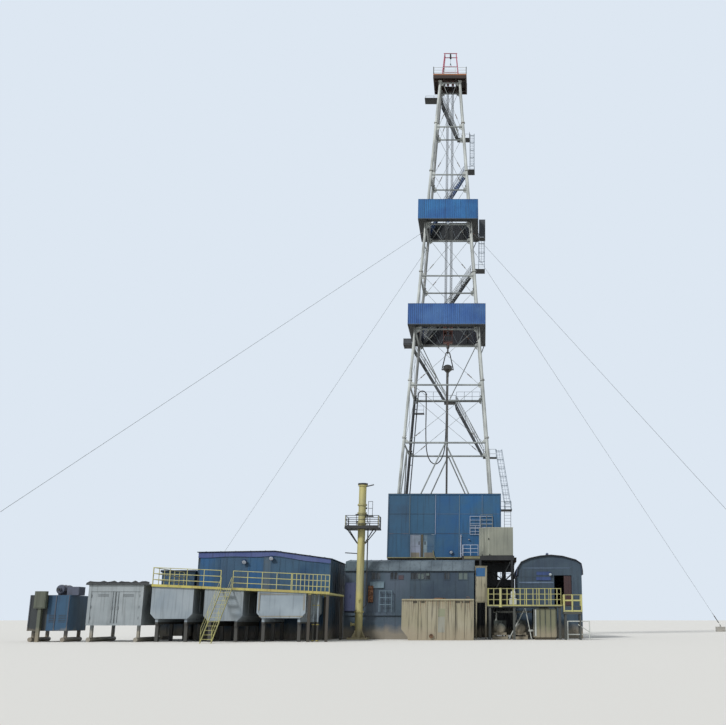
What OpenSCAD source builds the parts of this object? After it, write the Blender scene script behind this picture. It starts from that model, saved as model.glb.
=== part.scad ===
// Oil drilling rig with a guyed tubular derrick, at half its real size, in millimetres.
// The origin is on the ground under the middle of the derrick. +X right, +Y back, +Z up.

/* [Derrick] */
// Height of the top of the drill floor above the ground
floor_z = 3630; // [3500:10:3800]
// Spacing of the leg centre lines at the drill floor
derrick_base = 4950; // [4850:10:5050]
// Spacing of the leg centre lines at the crown
derrick_top = 1100; // [1050:10:1200]
// Height of the leg tops
crown_z = 30250; // [30100:10:30500]
// Diameter of the leg tubes
leg_d = 145; // [130:1:160]
// Diameter of the flanges that splice the leg tubes
flange_d = 230; // [200:1:250]
// Thickness of one splice flange
flange_t = 24; // [16:1:36]
// Height of a splice above its girt
splice_rise = 260; // [220:10:320]
// Width of the square foot and head plates of a leg
foot_w = 300; // [260:10:320]
// Height of the lowest girts, where the portal braces meet
first_girt_z = 9280; // [9200:10:9400]
// Height of one lattice panel
panel_h = 3000; // [2950:10:3050]
// Number of girts on each face
girt_count = 7; // [7:1:7]
// Diameter of the girts
girt_d = 90; // [70:1:100]
// Diameter of the crossed tie rods
rod_d = 20; // [16:1:30]
// Diameter of the portal braces and of the rear V struts
brace_d = 70; // [50:1:90]
// Distance from a leg's centre line to where the tie rods meet a girt
gusset_r = 160; // [140:5:200]

/* [Working boards] */
// Height of the underside of the lower board
lower_board_z = 15400; // [15350:10:15500]
// Width of the lower board outside the legs, at its left and right
lower_side_w = 302; // [280:1:400]
// Width of the lower board outside the legs, at its front and back
lower_end_w = 377; // [350:1:450]
// Height of the underside of the upper board
upper_board_z = 21400; // [21350:10:21500]
// Width of the upper board outside the legs, at its left and right
upper_side_w = 336; // [300:1:430]
// Width of the upper board outside the legs, at its front and back
upper_end_w = 386; // [350:1:480]
// Thickness of the board floors
board_t = 30; // [20:1:40]
// Height of the sheet wind guards
guard_h = 1120; // [1050:10:1200]
// Thickness of the sheet wind guards
guard_t = 20; // [12:1:30]

/* [Crown] */
// Half width of the crown deck, left to right
crown_x = 938; // [900:1:980]
// Half depth of the crown deck, front to back
crown_y = 900; // [870:1:950]
// Depth of the crown deck's beams and plate together
crown_t = 180; // [150:5:220]
// Half width of the sheave opening, left to right
crown_hole_x = 300; // [280:5:330]
// Half depth of the sheave opening, front to back
crown_hole_y = 330; // [310:5:360]
// Height of the crown railing
crown_rail_h = 500; // [450:10:550]
// Width of the gantry at its foot
gantry_base = 985; // [900:5:1050]
// Width of the gantry at its head
gantry_top = 650; // [550:5:750]
// Height of the gantry above the crown deck
gantry_h = 1820; // [1700:10:1900]
// Depth of the gantry at its foot, front to back
gantry_depth = 720; // [640:10:800]
// Diameter of the gantry's tubes
gantry_d = 50; // [40:1:60]

/* [Hoisting gear] */
// Outer radius of the sheaves
sheave_r = 250; // [230:1:260]
// Thickness of one sheave
sheave_t = 42; // [36:1:44]
// Distance between neighbouring sheaves
sheave_pitch = 48; // [46:1:52]
// Distance from the middle to the first sheave on each side
sheave_first = 92; // [88:1:100]
// Diameter of the sheave shafts
shaft_d = 90; // [70:1:110]
// Height of the crown shaft above the leg tops
crown_shaft_rise = 300; // [280:5:330]
// Height of the travelling block's shaft
block_shaft_z = 15700; // [15500:10:15900]
// Diameter of the hoisting lines
line_d = 14; // [10:1:16]
// Thickness of the travelling block's cheek plates
cheek_t = 20; // [14:1:26]
// Height of the hook's eye at the foot of the travelling block
hook_z = 14900; // [14850:10:14950]
// Height of the underside of the swivel
swivel_z = 13350; // [13300:10:13400]
// Width of the kelly across its corners
kelly_d = 100; // [80:1:110]
// Diameter of the rotary hose
hose_d = 56; // [50:1:60]
// Diameter of the standpipe
standpipe_d = 60; // [50:1:70]

/* [Drill floor] */
// Width of the drill floor outside the left legs' centre lines
floor_left_w = 200; // [195:1:230]
// Width of the room outside the right legs' centre lines
room_right_w = 250; // [240:1:280]
// Width of the side walkway on the right of the wind walls
side_walk_w = 725; // [680:5:820]
// Depth of the drill floor in front of and behind the legs' centre lines
floor_end_w = 525; // [480:5:620]
// Depth of the floor plate and its beams together
floor_t = 200; // [180:5:240]
// Half width of the square well under the rotary table
well_half = 300; // [280:10:340]
// Diameter of the bore of the rotary table
table_bore_d = 130; // [122:1:160]
// Height of the wind walls above the floor
wall_h = 3010; // [2900:10:3100]
// Thickness of the wind walls
wall_t = 40; // [30:1:50]
// Height of the front doors
door_h = 1075; // [1000:5:1150]
// Left side of the left doorway
door_left_x = -1597; // [-1650:1:-1560]
// Width of the left doorway
door_left_w = 512; // [480:1:540]
// Width of the wall between the front doorways
door_pier_w = 120; // [100:1:160]
// Width of the right doorway
door_right_w = 555; // [500:1:600]
// Thickness of a door leaf
leaf_t = 24; // [18:1:30]
// Clearance around a door leaf
leaf_gap = 6; // [5:1:9]

/* [Control cabin and balcony] */
// Left edge of the balcony
balcony_left = 900; // [850:10:1000]
// Right edge of the balcony
balcony_right = 3300; // [3280:10:3400]
// Depth of the balcony in front of the drill floor
balcony_depth = 1300; // [1200:10:1400]
// Left side of the control cabin
cabin_left = 1680; // [1650:10:1750]
// Right side of the control cabin
cabin_right = 3250; // [3200:10:3270]
// Height of the control cabin
cabin_h = 1300; // [1200:10:1400]
// Width of the slanted corner of the control cabin
cabin_chamfer = 460; // [400:10:520]

/* [Guy lines] */
// Height at which the guy lines leave the legs
guy_z = 20900; // [20800:10:21000]
// Diameter of the guy lines
guy_d = 14; // [10:1:20]
// Distance of the outer anchors from the middle, left and right
anchor_x = 18150; // [17800:10:18400]
// Distance of the outer anchors from the middle, front and back
anchor_y = 19450; // [19000:10:19500]
// Width of an anchor block
anchor_w = 560; // [480:10:600]
// Height of an anchor block
anchor_h = 320; // [240:10:400]

/* [Hidden] */

seat = 0.3;
fl = [-1, -1];
fr = [1, -1];
rl = [-1, 1];
rr = [1, 1];
corners = [fl, fr, rl, rr];

function unit(v) = v / norm(v);
function reversed(v) = [for (i = [len(v) - 1:-1:0]) v[i]];

leg_lean = (derrick_base - derrick_top) / 2 / (crown_z - floor_z);
function leg_half(z) = derrick_base / 2 - leg_lean * (z - floor_z);
function leg_at(s, z) = [s[0] * leg_half(z), s[1] * leg_half(z), z];
function leg_axis(s) = unit([-s[0] * leg_lean, -s[1] * leg_lean, 1]);
function girt_z(k) = first_girt_z + k * panel_h;
function outer_face(z) = leg_half(z) + leg_d / 2 * 1.01 + seat;

top_girt_z = crown_z - 130;
deck_z = crown_z + crown_t;
crown_shaft_z = crown_z + crown_shaft_rise;
sheave_xs = [for (s = [-1, 1], i = [0:2]) s * (sheave_first + i * sheave_pitch)];
groove_r = sheave_r - 24;
line_y = groove_r + line_d / 2 + 1;
cheek_x = sheave_first + 2 * sheave_pitch + sheave_t / 2 + 6;
lower_board_x = outer_face(lower_board_z) + lower_side_w;
lower_board_y = outer_face(lower_board_z) + lower_end_w;
upper_board_x = outer_face(upper_board_z) + upper_side_w;
upper_board_y = outer_face(upper_board_z) + upper_end_w;
floor_left = -derrick_base / 2 - floor_left_w;
wall_right = derrick_base / 2 + room_right_w;
floor_right = wall_right + side_walk_w;
floor_half_y = derrick_base / 2 + floor_end_w;
beam_z = floor_z - floor_t;
plate_t = 40;
wall_y = -floor_half_y;
door_left_end = door_left_x + door_left_w;
door_right_x = door_left_end + door_pier_w;
door_right_end = door_right_x + door_right_w;

// A straight bar between two points, round or with a few flat sides
module bar(a, b, d, sides = 6) {
    v = b - a;
    translate(a)
        rotate([0, acos(v[2] / norm(v)), atan2(v[1], v[0])])
            cylinder(h = norm(v), d = d, $fn = sides);
}

// A block from its low corner to its high corner
module block(lo, hi) {
    translate(lo) cube(hi - lo);
}

// An outline in the X-Z plane, from y0 to y1
module slab_y(y0, y1, outline) {
    translate([0, y1, 0]) rotate([90, 0, 0]) linear_extrude(y1 - y0) polygon(outline);
}

// An outline in the Y-Z plane, from x0 to x1
module slab_x(x0, x1, outline) {
    translate([x0, 0, 0]) rotate([90, 0, 90]) linear_extrude(x1 - x0) polygon(outline);
}

// An outline that runs counterclockwise, moved inwards by t
function inset(outline, t) = [
    for (i = [0:len(outline) - 1])
        let (n = len(outline), a = unit(outline[i] - outline[(i + n - 1) % n]),
            b = unit(outline[(i + 1) % n] - outline[i]), na = [-a[1], a[0]], nb = [-b[1], b[0]])
            outline[i] + (na + nb) * t / (1 + na * nb)
];

// A tank of flat plates: two end plates across Y and a plate along each side of the outline
module plate_tank(outline, y0, y1, t, open_top = false) {
    inner = inset(outline, t);
    n = len(outline);
    slab_y(y0, y0 + t, outline);
    slab_y(y1 - t, y1, outline);
    for (i = [0:n - (open_top ? 2 : 1)])
        let (j = (i + 1) % n, u = unit(outline[j] - outline[i]) * seat)
            slab_y(y0 + t + seat, y1 - t - seat,
                [outline[i] + u, outline[j] - u, inner[j] - u, inner[i] + u]);
}

// Upright ribs across the front of a unit, from its low corner to its high corner
module front_ribs(lo, hi, count) {
    for (i = [0:count - 1])
        let (x = lo[0] + 20 + (hi[0] - lo[0] - 70) * i / (count - 1))
            block([x, lo[1] - 25, lo[2] + 20], [x + 30, lo[1] + 1, hi[2] - 20]);
}

// Square posts of half width r, one where each x and y cross
module posts(xs, ys, r, z0, z1) {
    for (x = xs, y = ys)
        block([x - r, y - r, z0], [x + r, y + r, z1]);
}

// A railing panel between two points of its foot: posts, top rail, middle rail
module rail_panel(a, b, h, d = 22, spacing = 700, rails = 2) {
    n = max(1, round(norm(b - a) / spacing));
    for (i = [0:n])
        bar(a + (b - a) * i / n + [0, 0, seat], a + (b - a) * i / n + [0, 0, h], d);
    for (r = [1:rails])
        bar(a + [0, 0, h * r / rails - d / 2], b + [0, 0, h * r / rails - d / 2], d * 0.9);
}

// A railing whose panels stand apart by the seat clearance at the corners
module rail_run(points, h, d = 22, spacing = 700, rails = 2) {
    for (i = [0:len(points) - 2]) {
        u = unit(points[i + 1] - points[i]);
        rail_panel(points[i] + u * (d * 0.75 + seat), points[i + 1] - u * (d * 0.75 + seat),
            h, d, spacing, rails);
    }
}

// Legs

// One leg: inclined tube with foot plate, head plate and splice flanges
module leg(s) {
    axis = leg_axis(s);
    foot = leg_at(s, floor_z);
    head = leg_at(s, crown_z);
    color("gainsboro") {
        bar(leg_at(s, floor_z + 20), leg_at(s, crown_z - 10), leg_d, 48);
        block(foot + [-foot_w / 2, -foot_w / 2, 0], foot + [foot_w / 2, foot_w / 2, 40]);
        block(head + [-foot_w / 3, -foot_w / 3, -20], head + [foot_w / 3, foot_w / 3, 0]);
        for (k = [0:girt_count - 1])
            bar(leg_at(s, girt_z(k) + splice_rise) - axis * flange_t,
                leg_at(s, girt_z(k) + splice_rise) + axis * flange_t, flange_d, 48);
    }
}

// A girt between two legs at one height, cut to meet the tubes
module girt(s1, s2, z, d) {
    a = leg_at(s1, z);
    b = leg_at(s2, z);
    u = unit(b - a);
    c = abs(u * leg_axis(s1));
    cut = (leg_d / 2 + seat + d / 2 * c) / sqrt(1 - c * c);
    bar(a + u * cut, b - u * cut, d);
}

// The crossed tie rods of one panel, which pass beside each other
module tie_rods(s1, s2, z1, z2) {
    out = unit([s1[0] + s2[0], s1[1] + s2[1], 0]);
    u = unit(leg_at(s2, z1) - leg_at(s1, z1));
    for (side = [-1, 1]) {
        from = side < 0 ? s1 : s2;
        to = side < 0 ? s2 : s1;
        shift = out * side * rod_d * 0.3;
        bar(leg_at(from, z1) - u * side * gusset_r + shift,
            leg_at(to, z2) + u * side * gusset_r + shift, rod_d);
    }
}

// One face of the lattice above the lowest girt
module face_lattice(s1, s2, open_panel = -1) {
    color("silver") {
        for (k = [0:girt_count - 1]) {
            girt(s1, s2, girt_z(k), girt_d);
            if (k != open_panel)
                tie_rods(s1, s2, girt_z(k), k < girt_count - 1 ? girt_z(k + 1) : top_girt_z);
        }
        girt(s1, s2, top_girt_z, girt_d);
    }
}

// The rear face has a V of struts in the panel under the lower board
module rear_lattice() {
    face_lattice(rl, rr, 1);
    u = [1, 0, 0];
    color("silver")
        for (s = [-1, 1])
            bar([s * (leg_half(girt_z(2)) - gusset_r), leg_half(girt_z(2)), girt_z(2)],
                [s * 30, leg_half(girt_z(1)), girt_z(1)], brace_d * 0.7);
}

// Portal braces: from each leg foot up to the middle of the lowest girt
module portal_brace(s, along) {
    foot_z = floor_z + 260;
    a = leg_at(s, foot_z);
    top_z = first_girt_z - girt_d / 2 - seat;
    half = leg_half(first_girt_z);
    b = along == 0 ? [0, s[1] * half, first_girt_z] : [s[0] * half, 0, first_girt_z];
    u = unit(b - a);
    c = abs(u * leg_axis(s));
    cut = (leg_d / 2 + seat + brace_d / 2 * c) / sqrt(1 - c * c);
    side = along == 0 ? s[0] : s[1];
    reach = derrick_base;
    intersection() {
        bar(a + u * cut, b, brace_d);
        if (along == 0)
            block([side > 0 ? seat / 2 : -reach, -reach, floor_z],
                [side > 0 ? reach : -seat / 2, reach, top_z]);
        else
            block([-reach, side > 0 ? seat / 2 : -reach, floor_z],
                [reach, side > 0 ? reach : -seat / 2, top_z]);
    }
}

module portal_braces() {
    color("silver")
        for (s = corners, along = [0, 1])
            portal_brace(s, along);
}

// Working boards

// A walkway ring around the legs, carried by them
module board_ring(z, hx, hy) {
    inner = outer_face(z);
    color("dimgray")
        for (s = [-1, 1]) {
            block([-hx, s > 0 ? inner : -hy, z], [hx, s > 0 ? hy : -inner, z + board_t]);
            block([s > 0 ? inner : -hx, -inner + seat, z], [s > 0 ? hx : -inner, inner - seat, z + board_t]);
        }
}

// Four sheets that stand on the ring's edge
module wind_guard(z, hx, hy) {
    z0 = z + board_t;
    color("royalblue") {
        for (s = [-1, 1]) {
            block([-hx, s > 0 ? hy - guard_t : -hy, z0], [hx, s > 0 ? hy : -hy + guard_t, z0 + guard_h]);
            block([s > 0 ? hx - guard_t : -hx, -hy + guard_t + seat, z0],
                [s > 0 ? hx : -hx + guard_t, hy - guard_t - seat, z0 + guard_h]);
        }
    }
}

// Crown

module crown_deck() {
    color("saddlebrown")
        difference() {
            union() {
                block([-crown_x, -crown_y, deck_z - 30], [crown_x, crown_y, deck_z]);
                for (y = [-crown_y + 40, crown_y - 40, -derrick_top / 2, derrick_top / 2])
                    block([-crown_x, y - 40, crown_z], [crown_x, y + 40, deck_z]);
                for (x = [-crown_x + 40, crown_x - 40, -crown_hole_x - 40, crown_hole_x + 40])
                    block([x - 40, -crown_y, crown_z], [x + 40, crown_y, deck_z]);
            }
            block([-crown_hole_x, -crown_hole_y, crown_z - 1], [crown_hole_x, crown_hole_y, deck_z + 1]);
        }
}

module crown_railing() {
    x = crown_x - 20;
    y = crown_y - 20;
    color("slategray")
        rail_run([[-x, -y, deck_z], [x, -y, deck_z], [x, y, deck_z], [-x, y, deck_z], [-x, -y, deck_z]],
            crown_rail_h, 24, 600, 3);
}

// Bearings and shaft that carry the crown sheaves
module crown_block() {
    color("sienna") {
        for (s = [-1, 1])
            slab_x(s * (crown_hole_x + 40) - 30, s * (crown_hole_x + 40) + 30,
                [[-170, deck_z], [170, deck_z], [70, crown_shaft_z + 60], [-70, crown_shaft_z + 60]]);
        bar([-crown_hole_x - 90, 0, crown_shaft_z], [crown_hole_x + 90, 0, crown_shaft_z], shaft_d, 48);
    }
}

// A grooved sheave, its axis along X
module sheave(x, z) {
    half = sheave_t / 2;
    translate([x, 0, z])
        rotate([0, 90, 0])
            rotate_extrude($fn = 64)
                polygon([
                    [shaft_d / 2 + seat, -half], [shaft_d / 2 + 30, -half], [shaft_d / 2 + 36, -half + 12],
                    [groove_r - 34, -half + 12], [groove_r - 26, -half], [sheave_r, -half],
                    [sheave_r, -half + 4], [groove_r, -line_d / 2 - 1], [groove_r, line_d / 2 + 1],
                    [sheave_r, half - 4], [sheave_r, half], [groove_r - 26, half],
                    [groove_r - 34, half - 12], [shaft_d / 2 + 36, half - 12], [shaft_d / 2 + 30, half],
                    [shaft_d / 2 + seat, half]
                ]);
}

module crown_sheaves() {
    color("sienna")
        for (x = sheave_xs)
            sheave(x, crown_shaft_z);
}

function mirrored(p, s) = [p[0] * s[0], p[1] * s[1], p[2]];

// Gantry: four leaning tubes on foot plates, tied half way up and at the head
module crown_gantry() {
    foot = [gantry_base / 2, gantry_depth / 2, deck_z + 8];
    head = [gantry_top / 2, gantry_depth * 0.3, deck_z + gantry_h - gantry_d / 2];
    color("crimson") {
        for (s = corners) {
            block(mirrored(foot, s) - [60, 60, 8], mirrored(foot, s) + [60, 60, 6]);
            bar(mirrored(foot, s), mirrored(head, s), gantry_d, 8);
        }
        for (tie = [[head, gantry_d, 60], [(foot + head) / 2, gantry_d * 0.7, 0]], s = [-1, 1])
            let (p = tie[0]) {
                bar([-p[0] - tie[2], s * p[1], p[2]], [p[0] + tie[2], s * p[1], p[2]], tie[1], 8);
                bar([s * p[0], -p[1], p[2]], [s * p[0], p[1], p[2]], tie[1] * 0.95, 8);
            }
    }
}

// Rear walkway, stairs, landings and ladders

stair_w = 360;
stringer_t = 14;
stringer_h = 90;
tread_t = 14;
tread_depth = 120;
tread_rise = 125;
stair_rail_h = 450;

// A stair flight in the X-Z plane: two stringers with handrails, and separate treads
module flight(x0, z0, x1, z1, y0, w = stair_w, rise = tread_rise) {
    run = x1 - x0;
    h = z1 - z0;
    foot = stringer_h * run / h;
    n = round(h / rise);
    for (y = [y0, y0 + w - stringer_t]) {
        slab_y(y, y + stringer_t, [[x0, z0], [x0 + foot, z0], [x1, z1 - stringer_h], [x1, z1]]);
        posts = max(2, round(norm([run, h]) / 1100));
        start = [x0, y + stringer_t / 2, z0];
        way = [run, 0, h];
        for (i = [0:posts])
            let (p = start + way * (0.03 + 0.94 * i / posts))
                bar(p - [0, 0, 20], p + [0, 0, stair_rail_h], 16);
        for (k = [0.5, 1])
            bar(start + way * 0.03 + [0, 0, stair_rail_h * k],
                start + way * 0.97 + [0, 0, stair_rail_h * k], 14);
    }
    for (i = [1:n - 1]) {
        t = i / n;
        x = x0 + run * t;
        dir = sign(run);
        block([min(x, x + dir * tread_depth), y0 + stringer_t + seat, z0 + h * t - tread_t - 10],
            [max(x, x + dir * tread_depth), y0 + w - stringer_t - seat, z0 + h * t - 10]);
    }
}

walkway_t = 60;
walkway_y0 = leg_half(girt_z(1)) + girt_d / 2 * cos(30) + seat;
walkway_w = 200;

// Heights of the landings, from the bottom up
landing_t = 40;
landing_1 = floor_z + 2795;
landing_2 = girt_z(0) - 30;
landing_3 = girt_z(1) - walkway_t / 2 - seat;
landing_4 = lower_board_z + board_t;
landing_8 = crown_z - 350;
landing_7 = landing_8 - 2450;
landing_6 = landing_7 - 1900;
landing_5 = upper_board_z + board_t - 1730;
board_stair_w = 340;
flight_1_y = outer_face(landing_2 - landing_t) + 40;
flight_2_y = lower_board_y + 20;
flight_3_y = outer_face(lower_board_z) + 4;
flight_4_y = outer_face(upper_board_z) + 4;
flight_5_y = crown_y + 20;

// A landing plate with its outer railing, from behind the legs to y1
module leg_landing(x0, x1, z, y1) {
    landing(x0, x1, z, outer_face(z - landing_t), y1);
}

// A landing plate with its outer railing
module landing(x0, x1, z, y0, y1, rail = true) {
    block([x0, y0, z - landing_t], [x1, y1, z]);
    if (rail)
        rail_panel([x0 + 20, y1 - 15, z], [x1 - 20, y1 - 15, z], 500, 18, 400);
}

module stair_landings() {
    color("dimgray") {
        landing(wall_right + seat, wall_right + 675, landing_1, ladder_1_y, ladder_1_y + 800);
        leg_landing(landing_2_x1 - 740, landing_2_x1, landing_2, flight_1_y + stair_w + 40);
        landing(-260, landing_3_x1, landing_3, walkway_y0 + 20, flight_1_y + stair_w + 40);
        landing(-derrick_base / 2 - 25, -lower_board_x - seat, landing_4, 1500, flight_2_y + stair_w + 40);
        leg_landing(landing_5_x0, 1970, landing_5, flight_3_y + board_stair_w + 40);
        landing(upper_board_x + seat, 1990, upper_board_z + board_t, 1000, ladder_3_y - 12 - seat, false);
        leg_landing(landing_6_x0, 1390, landing_6, flight_4_y + board_stair_w + 40);
        leg_landing(380, landing_7_x1, landing_7, flight_5_y + stair_w + 40);
        leg_landing(-1500, landing_8_x1, landing_8, flight_5_y + stair_w + 40);
    }
}

landing_2_x1 = derrick_base / 2 + 125;
ladder_1_x = wall_right + 265;
ladder_1_y = 1900;
landing_3_x1 = 380;
landing_5_x0 = 1250;
landing_6_x0 = 830;
landing_7_x1 = 1100;
landing_8_x1 = -500;
ladder_3_y = 1500;

module stair_flight_1() {
    color("slategray") flight(landing_2_x1 - 650, landing_2, landing_3_x1 + seat, landing_3, flight_1_y);
}

module stair_flight_2() {
    color("slategray") flight(-105, landing_3, -lower_board_x, landing_4, flight_2_y);
}

module stair_flight_3() {
    color("slategray")
        flight(-1500, lower_board_z + board_t, landing_5_x0 - seat, landing_5, flight_3_y, board_stair_w);
}

module stair_flight_4() {
    color("royalblue")
        flight(-1500, upper_board_z + board_t, landing_6_x0 - seat, landing_6, flight_4_y, board_stair_w);
}

module stair_flight_5() {
    color("royalblue") flight(470, landing_7, landing_8_x1 + seat, landing_8, flight_5_y);
}

// A ladder that leans in the X-Z plane, with an optional safety cage behind it
module ladder(x0, z0, x1, z1, y, w, cage = false, rung = 150) {
    n = floor((z1 - z0) / rung);
    rail = 24;
    lift = [0, 0, rail / 2 * abs(x1 - x0) / norm([x1 - x0, z1 - z0]) + seat];
    for (s = [0, w])
        bar([x0 + s, y, z0] + lift, [x1 + s, y, z1] - lift, rail);
    for (i = [1:n - 1])
        let (t = i / n)
            bar([x0, y, z0] * (1 - t) + [x1, y, z1] * t, [x0 + w, y, z0] * (1 - t) + [x1 + w, y, z1] * t, 12);
    if (cage) {
        hoops = max(2, round((z1 - z0) / 500));
        for (i = [1:hoops]) {
            t = i / hoops - 0.02;
            translate([x0 + (x1 - x0) * t + w / 2, y, z0 + (z1 - z0) * t])
                rotate_extrude(angle = 180, $fn = 48)
                    translate([w / 2 - 4, -14]) square([8, 28]);
        }
        for (a = [45, 90, 135]) {
            off = [w / 2 + cos(a) * w / 2, y + sin(a) * w / 2, 0];
            t0 = 1 / hoops - 0.02;
            bar([x0 + (x1 - x0) * t0, 0, z0 + (z1 - z0) * t0] + off, [x1, 0, z1] + off, 14);
        }
    }
}

ladder_lean = 0.156;
ladder_2_x = landing_2_x1 + 16 + ladder_lean * (landing_2 - landing_t / 2 - landing_1);

module derrick_ladders() {
    above = 450;
    top_2 = landing_2 + above;
    color("slategray") {
        ladder(ladder_1_x, floor_z, ladder_1_x, landing_1 + above, ladder_1_y - 12 - seat, 340);
        ladder(ladder_2_x, landing_1, ladder_2_x - ladder_lean * (top_2 - landing_1), top_2, 2350, 340, true);
        ladder(upper_board_x + 20, landing_5, upper_board_x + 20, upper_board_z + board_t + above, ladder_3_y,
            330, true);
        ladder(landing_7_x1 + 13, landing_6, landing_7_x1 + 13, landing_7 + above, 1200, 250, true);
    }
}

module rear_walkway() {
    z = girt_z(1);
    y1 = walkway_y0 + walkway_w;
    x = leg_half(z) - leg_d / 2 - 40;
    color("dimgray") {
        block([-x, walkway_y0, z - walkway_t / 2], [x, y1, z + walkway_t / 2]);
        for (s = [-1, 1])
            rail_panel([s * (x - 40), y1 - 20, z + walkway_t / 2], [s * 420, y1 - 20, z + walkway_t / 2],
                520, 18, 420);
    }
}

standpipe_off = [190, -190, 0];
standpipe_z = 12550;
gooseneck_r = 220;

module standpipe() {
    top = leg_at(rl, standpipe_z) + standpipe_off;
    color("dimgray") {
        bar(leg_at(rl, floor_z + 10) + standpipe_off, top, standpipe_d, 32);
        foot = leg_at(rl, floor_z) + standpipe_off;
        bar(foot, foot + [0, 0, 30], standpipe_d + 40, 32);
        bar(top - [0, 0, 20], top + [0, 0, 20], standpipe_d + 30, 32);
        translate(top + [gooseneck_r, 0, 0])
            rotate([90, 0, 0])
                rotate_extrude(angle = 180, $fn = 48)
                    translate([gooseneck_r, 0]) circle(d = standpipe_d, $fn = 32);
        bar(top + [2 * gooseneck_r, 0, 0], top + [2 * gooseneck_r, 0, 60], standpipe_d + 24, 32);
        for (k = [0:1]) {
            p = leg_at(rl, girt_z(k) - 500);
            bar(p + unit([1, -1, 0]) * (leg_d / 2 + seat + 3), p + standpipe_off, 40);
        }
        hose_platform(rl);
    }
}

// Small hose platform beside the rear left leg
module hose_platform(s) {
    z = 11550;
    p = leg_at(s, z);
    x0 = p[0] + leg_d / 2 + seat + 2;
    block([x0, p[1] - 330, z - 50], [x0 + 520, p[1] - 30, z]);
    rail_panel([x0 + 60, p[1] - 45, z], [x0 + 480, p[1] - 45, z], 450, 16, 350);
}

// Hoisting gear

// Outline of the travelling block's cheek plate: an arc over the sheaves and two straight flanks
cheek_foot_w = 180;
function cheek_outline(r, z) = concat(
    [for (a = [-20:10:200]) [r * cos(a), z + r * sin(a)]],
    [[-cheek_foot_w / 2, hook_z + 60], [cheek_foot_w / 2, hook_z + 60]]);

module travelling_block() {
    color("sienna") {
        for (s = [-1, 1])
            difference() {
                slab_x(s * (cheek_x + cheek_t / 2) - cheek_t / 2, s * (cheek_x + cheek_t / 2) + cheek_t / 2,
                    cheek_outline(sheave_r + 20, block_shaft_z));
                for (y = [-70, 70])
                    slab_x(s * (cheek_x + cheek_t / 2) - cheek_t, s * (cheek_x + cheek_t / 2) + cheek_t,
                        [for (a = [0:45:315]) [y + 38 * cos(a), block_shaft_z - 330 + 80 * sin(a)]]);
            }
        for (z = [hook_z + 200, block_shaft_z - sheave_r - 40])
            bar([-half - 12, 0, z], [half + 12, 0, z], 40, 32);
        half = cheek_x + cheek_t;
        bar([-half - 24, 0, block_shaft_z], [half + 24, 0, block_shaft_z], shaft_d, 48);
        block([-cheek_x - 1, -90, hook_z + 60], [cheek_x + 1, 90, hook_z + 130]);
        block([-60, -60, hook_z - 40], [60, 60, hook_z + 70]);
    }
}

module block_sheaves() {
    color("sienna")
        for (x = sheave_xs)
            sheave(x, block_shaft_z);
}

bail_d = 60;
bail_r = 110;
bail_top_z = hook_z - 400;
trunnion_z = swivel_z + 212;
trunnion_d = 56;
trunnion_x = 285;
bail_eye_t = 36;

// Hook on its turned spring barrel, and the bail that hangs in it and holds the swivel's trunnions
module hook_and_bail() {
    color("dimgray") {
        translate([0, 0, hook_z - 40 - seat])
            rotate_extrude($fn = 48)
                polygon([[0, 0], [60, 0], [85, -20], [85, -130], [62, -170], [48, -190], [0, -190]]);
        hook_profile();
        translate([0, 0, bail_top_z - bail_r])
            rotate([90, 0, 0])
                rotate_extrude(angle = 180, $fn = 48)
                    translate([bail_r, 0]) circle(d = bail_d, $fn = 24);
        for (s = [-1, 1]) {
            eye = [s * trunnion_x, 0, trunnion_z];
            bar([s * bail_r, 0, bail_top_z - bail_r + 10], eye + [0, 0, 60], bail_d * 0.96, 24);
            difference() {
                bar(eye - [bail_eye_t / 2, 0, 0], eye + [bail_eye_t / 2, 0, 0], trunnion_d + 70, 48);
                bar(eye - [bail_eye_t, 0, 0], eye + [bail_eye_t, 0, 0], trunnion_d + 2 * seat, 48);
            }
        }
    }
}

// The forged hook in the Y-Z plane, open towards the back
module hook_profile() {
    throat = bail_d / 2 + seat;
    z = bail_top_z;
    translate([-40, 0, 0])
        rotate([90, 0, 90])
            linear_extrude(80)
                difference() {
                    union() {
                        translate([0, z]) circle(r = 92, $fn = 48);
                        polygon([[-92, z], [-55, hook_z - 200], [55, hook_z - 200], [20, z + 60]]);
                    }
                    translate([0, z]) circle(r = throat, $fn = 48);
                    polygon([[0, z - throat], [60, z + 10], [120, z + 20], [120, z + 110], [10, z + 70],
                        [-throat, z]]);
                }
}

swivel_inlet_z = 380;
inlet_at = [-60, 330];
inlet_z = swivel_z + 300;

// Swivel body, turned, with its bent inlet to the hose
module swivel() {
    color("dimgray") {
        translate([0, 0, swivel_z])
            rotate_extrude($fn = 64)
                polygon([[0, 0], [70, 0], [80, 60], [150, 120], [228, 170], [240, 185], [240, 240], [225, 258],
                    [150, 262], [120, 275], [0, 275]]);
        for (s = [-1, 1])
            bar([s * 220, 0, trunnion_z], [s * (trunnion_x + bail_eye_t), 0, trunnion_z], trunnion_d, 48);
        bar([0, 0, swivel_z + 244], [0, 0, swivel_z + 444], 130, 48);
        bar([0, 0, swivel_z + swivel_inlet_z], [inlet_at[0], inlet_at[1], swivel_z + swivel_inlet_z], 60, 32);
        bar([inlet_at[0], inlet_at[1], inlet_z], [inlet_at[0], inlet_at[1], inlet_z + 130], 90, 32);
    }
}

module kelly() {
    color("dimgray") {
        bar([0, 0, floor_z - 120], [0, 0, swivel_z - 180], kelly_d, 6);
        bar([0, 0, swivel_z - 180], [0, 0, swivel_z - seat], kelly_d + 30, 48);
    }
}

module hoisting_lines() {
    color("gray")
        for (x = sheave_xs, s = [-1, 1])
            bar([x, s * line_y, block_shaft_z], [x, s * line_y, crown_shaft_z], line_d, 8);
}

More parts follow.
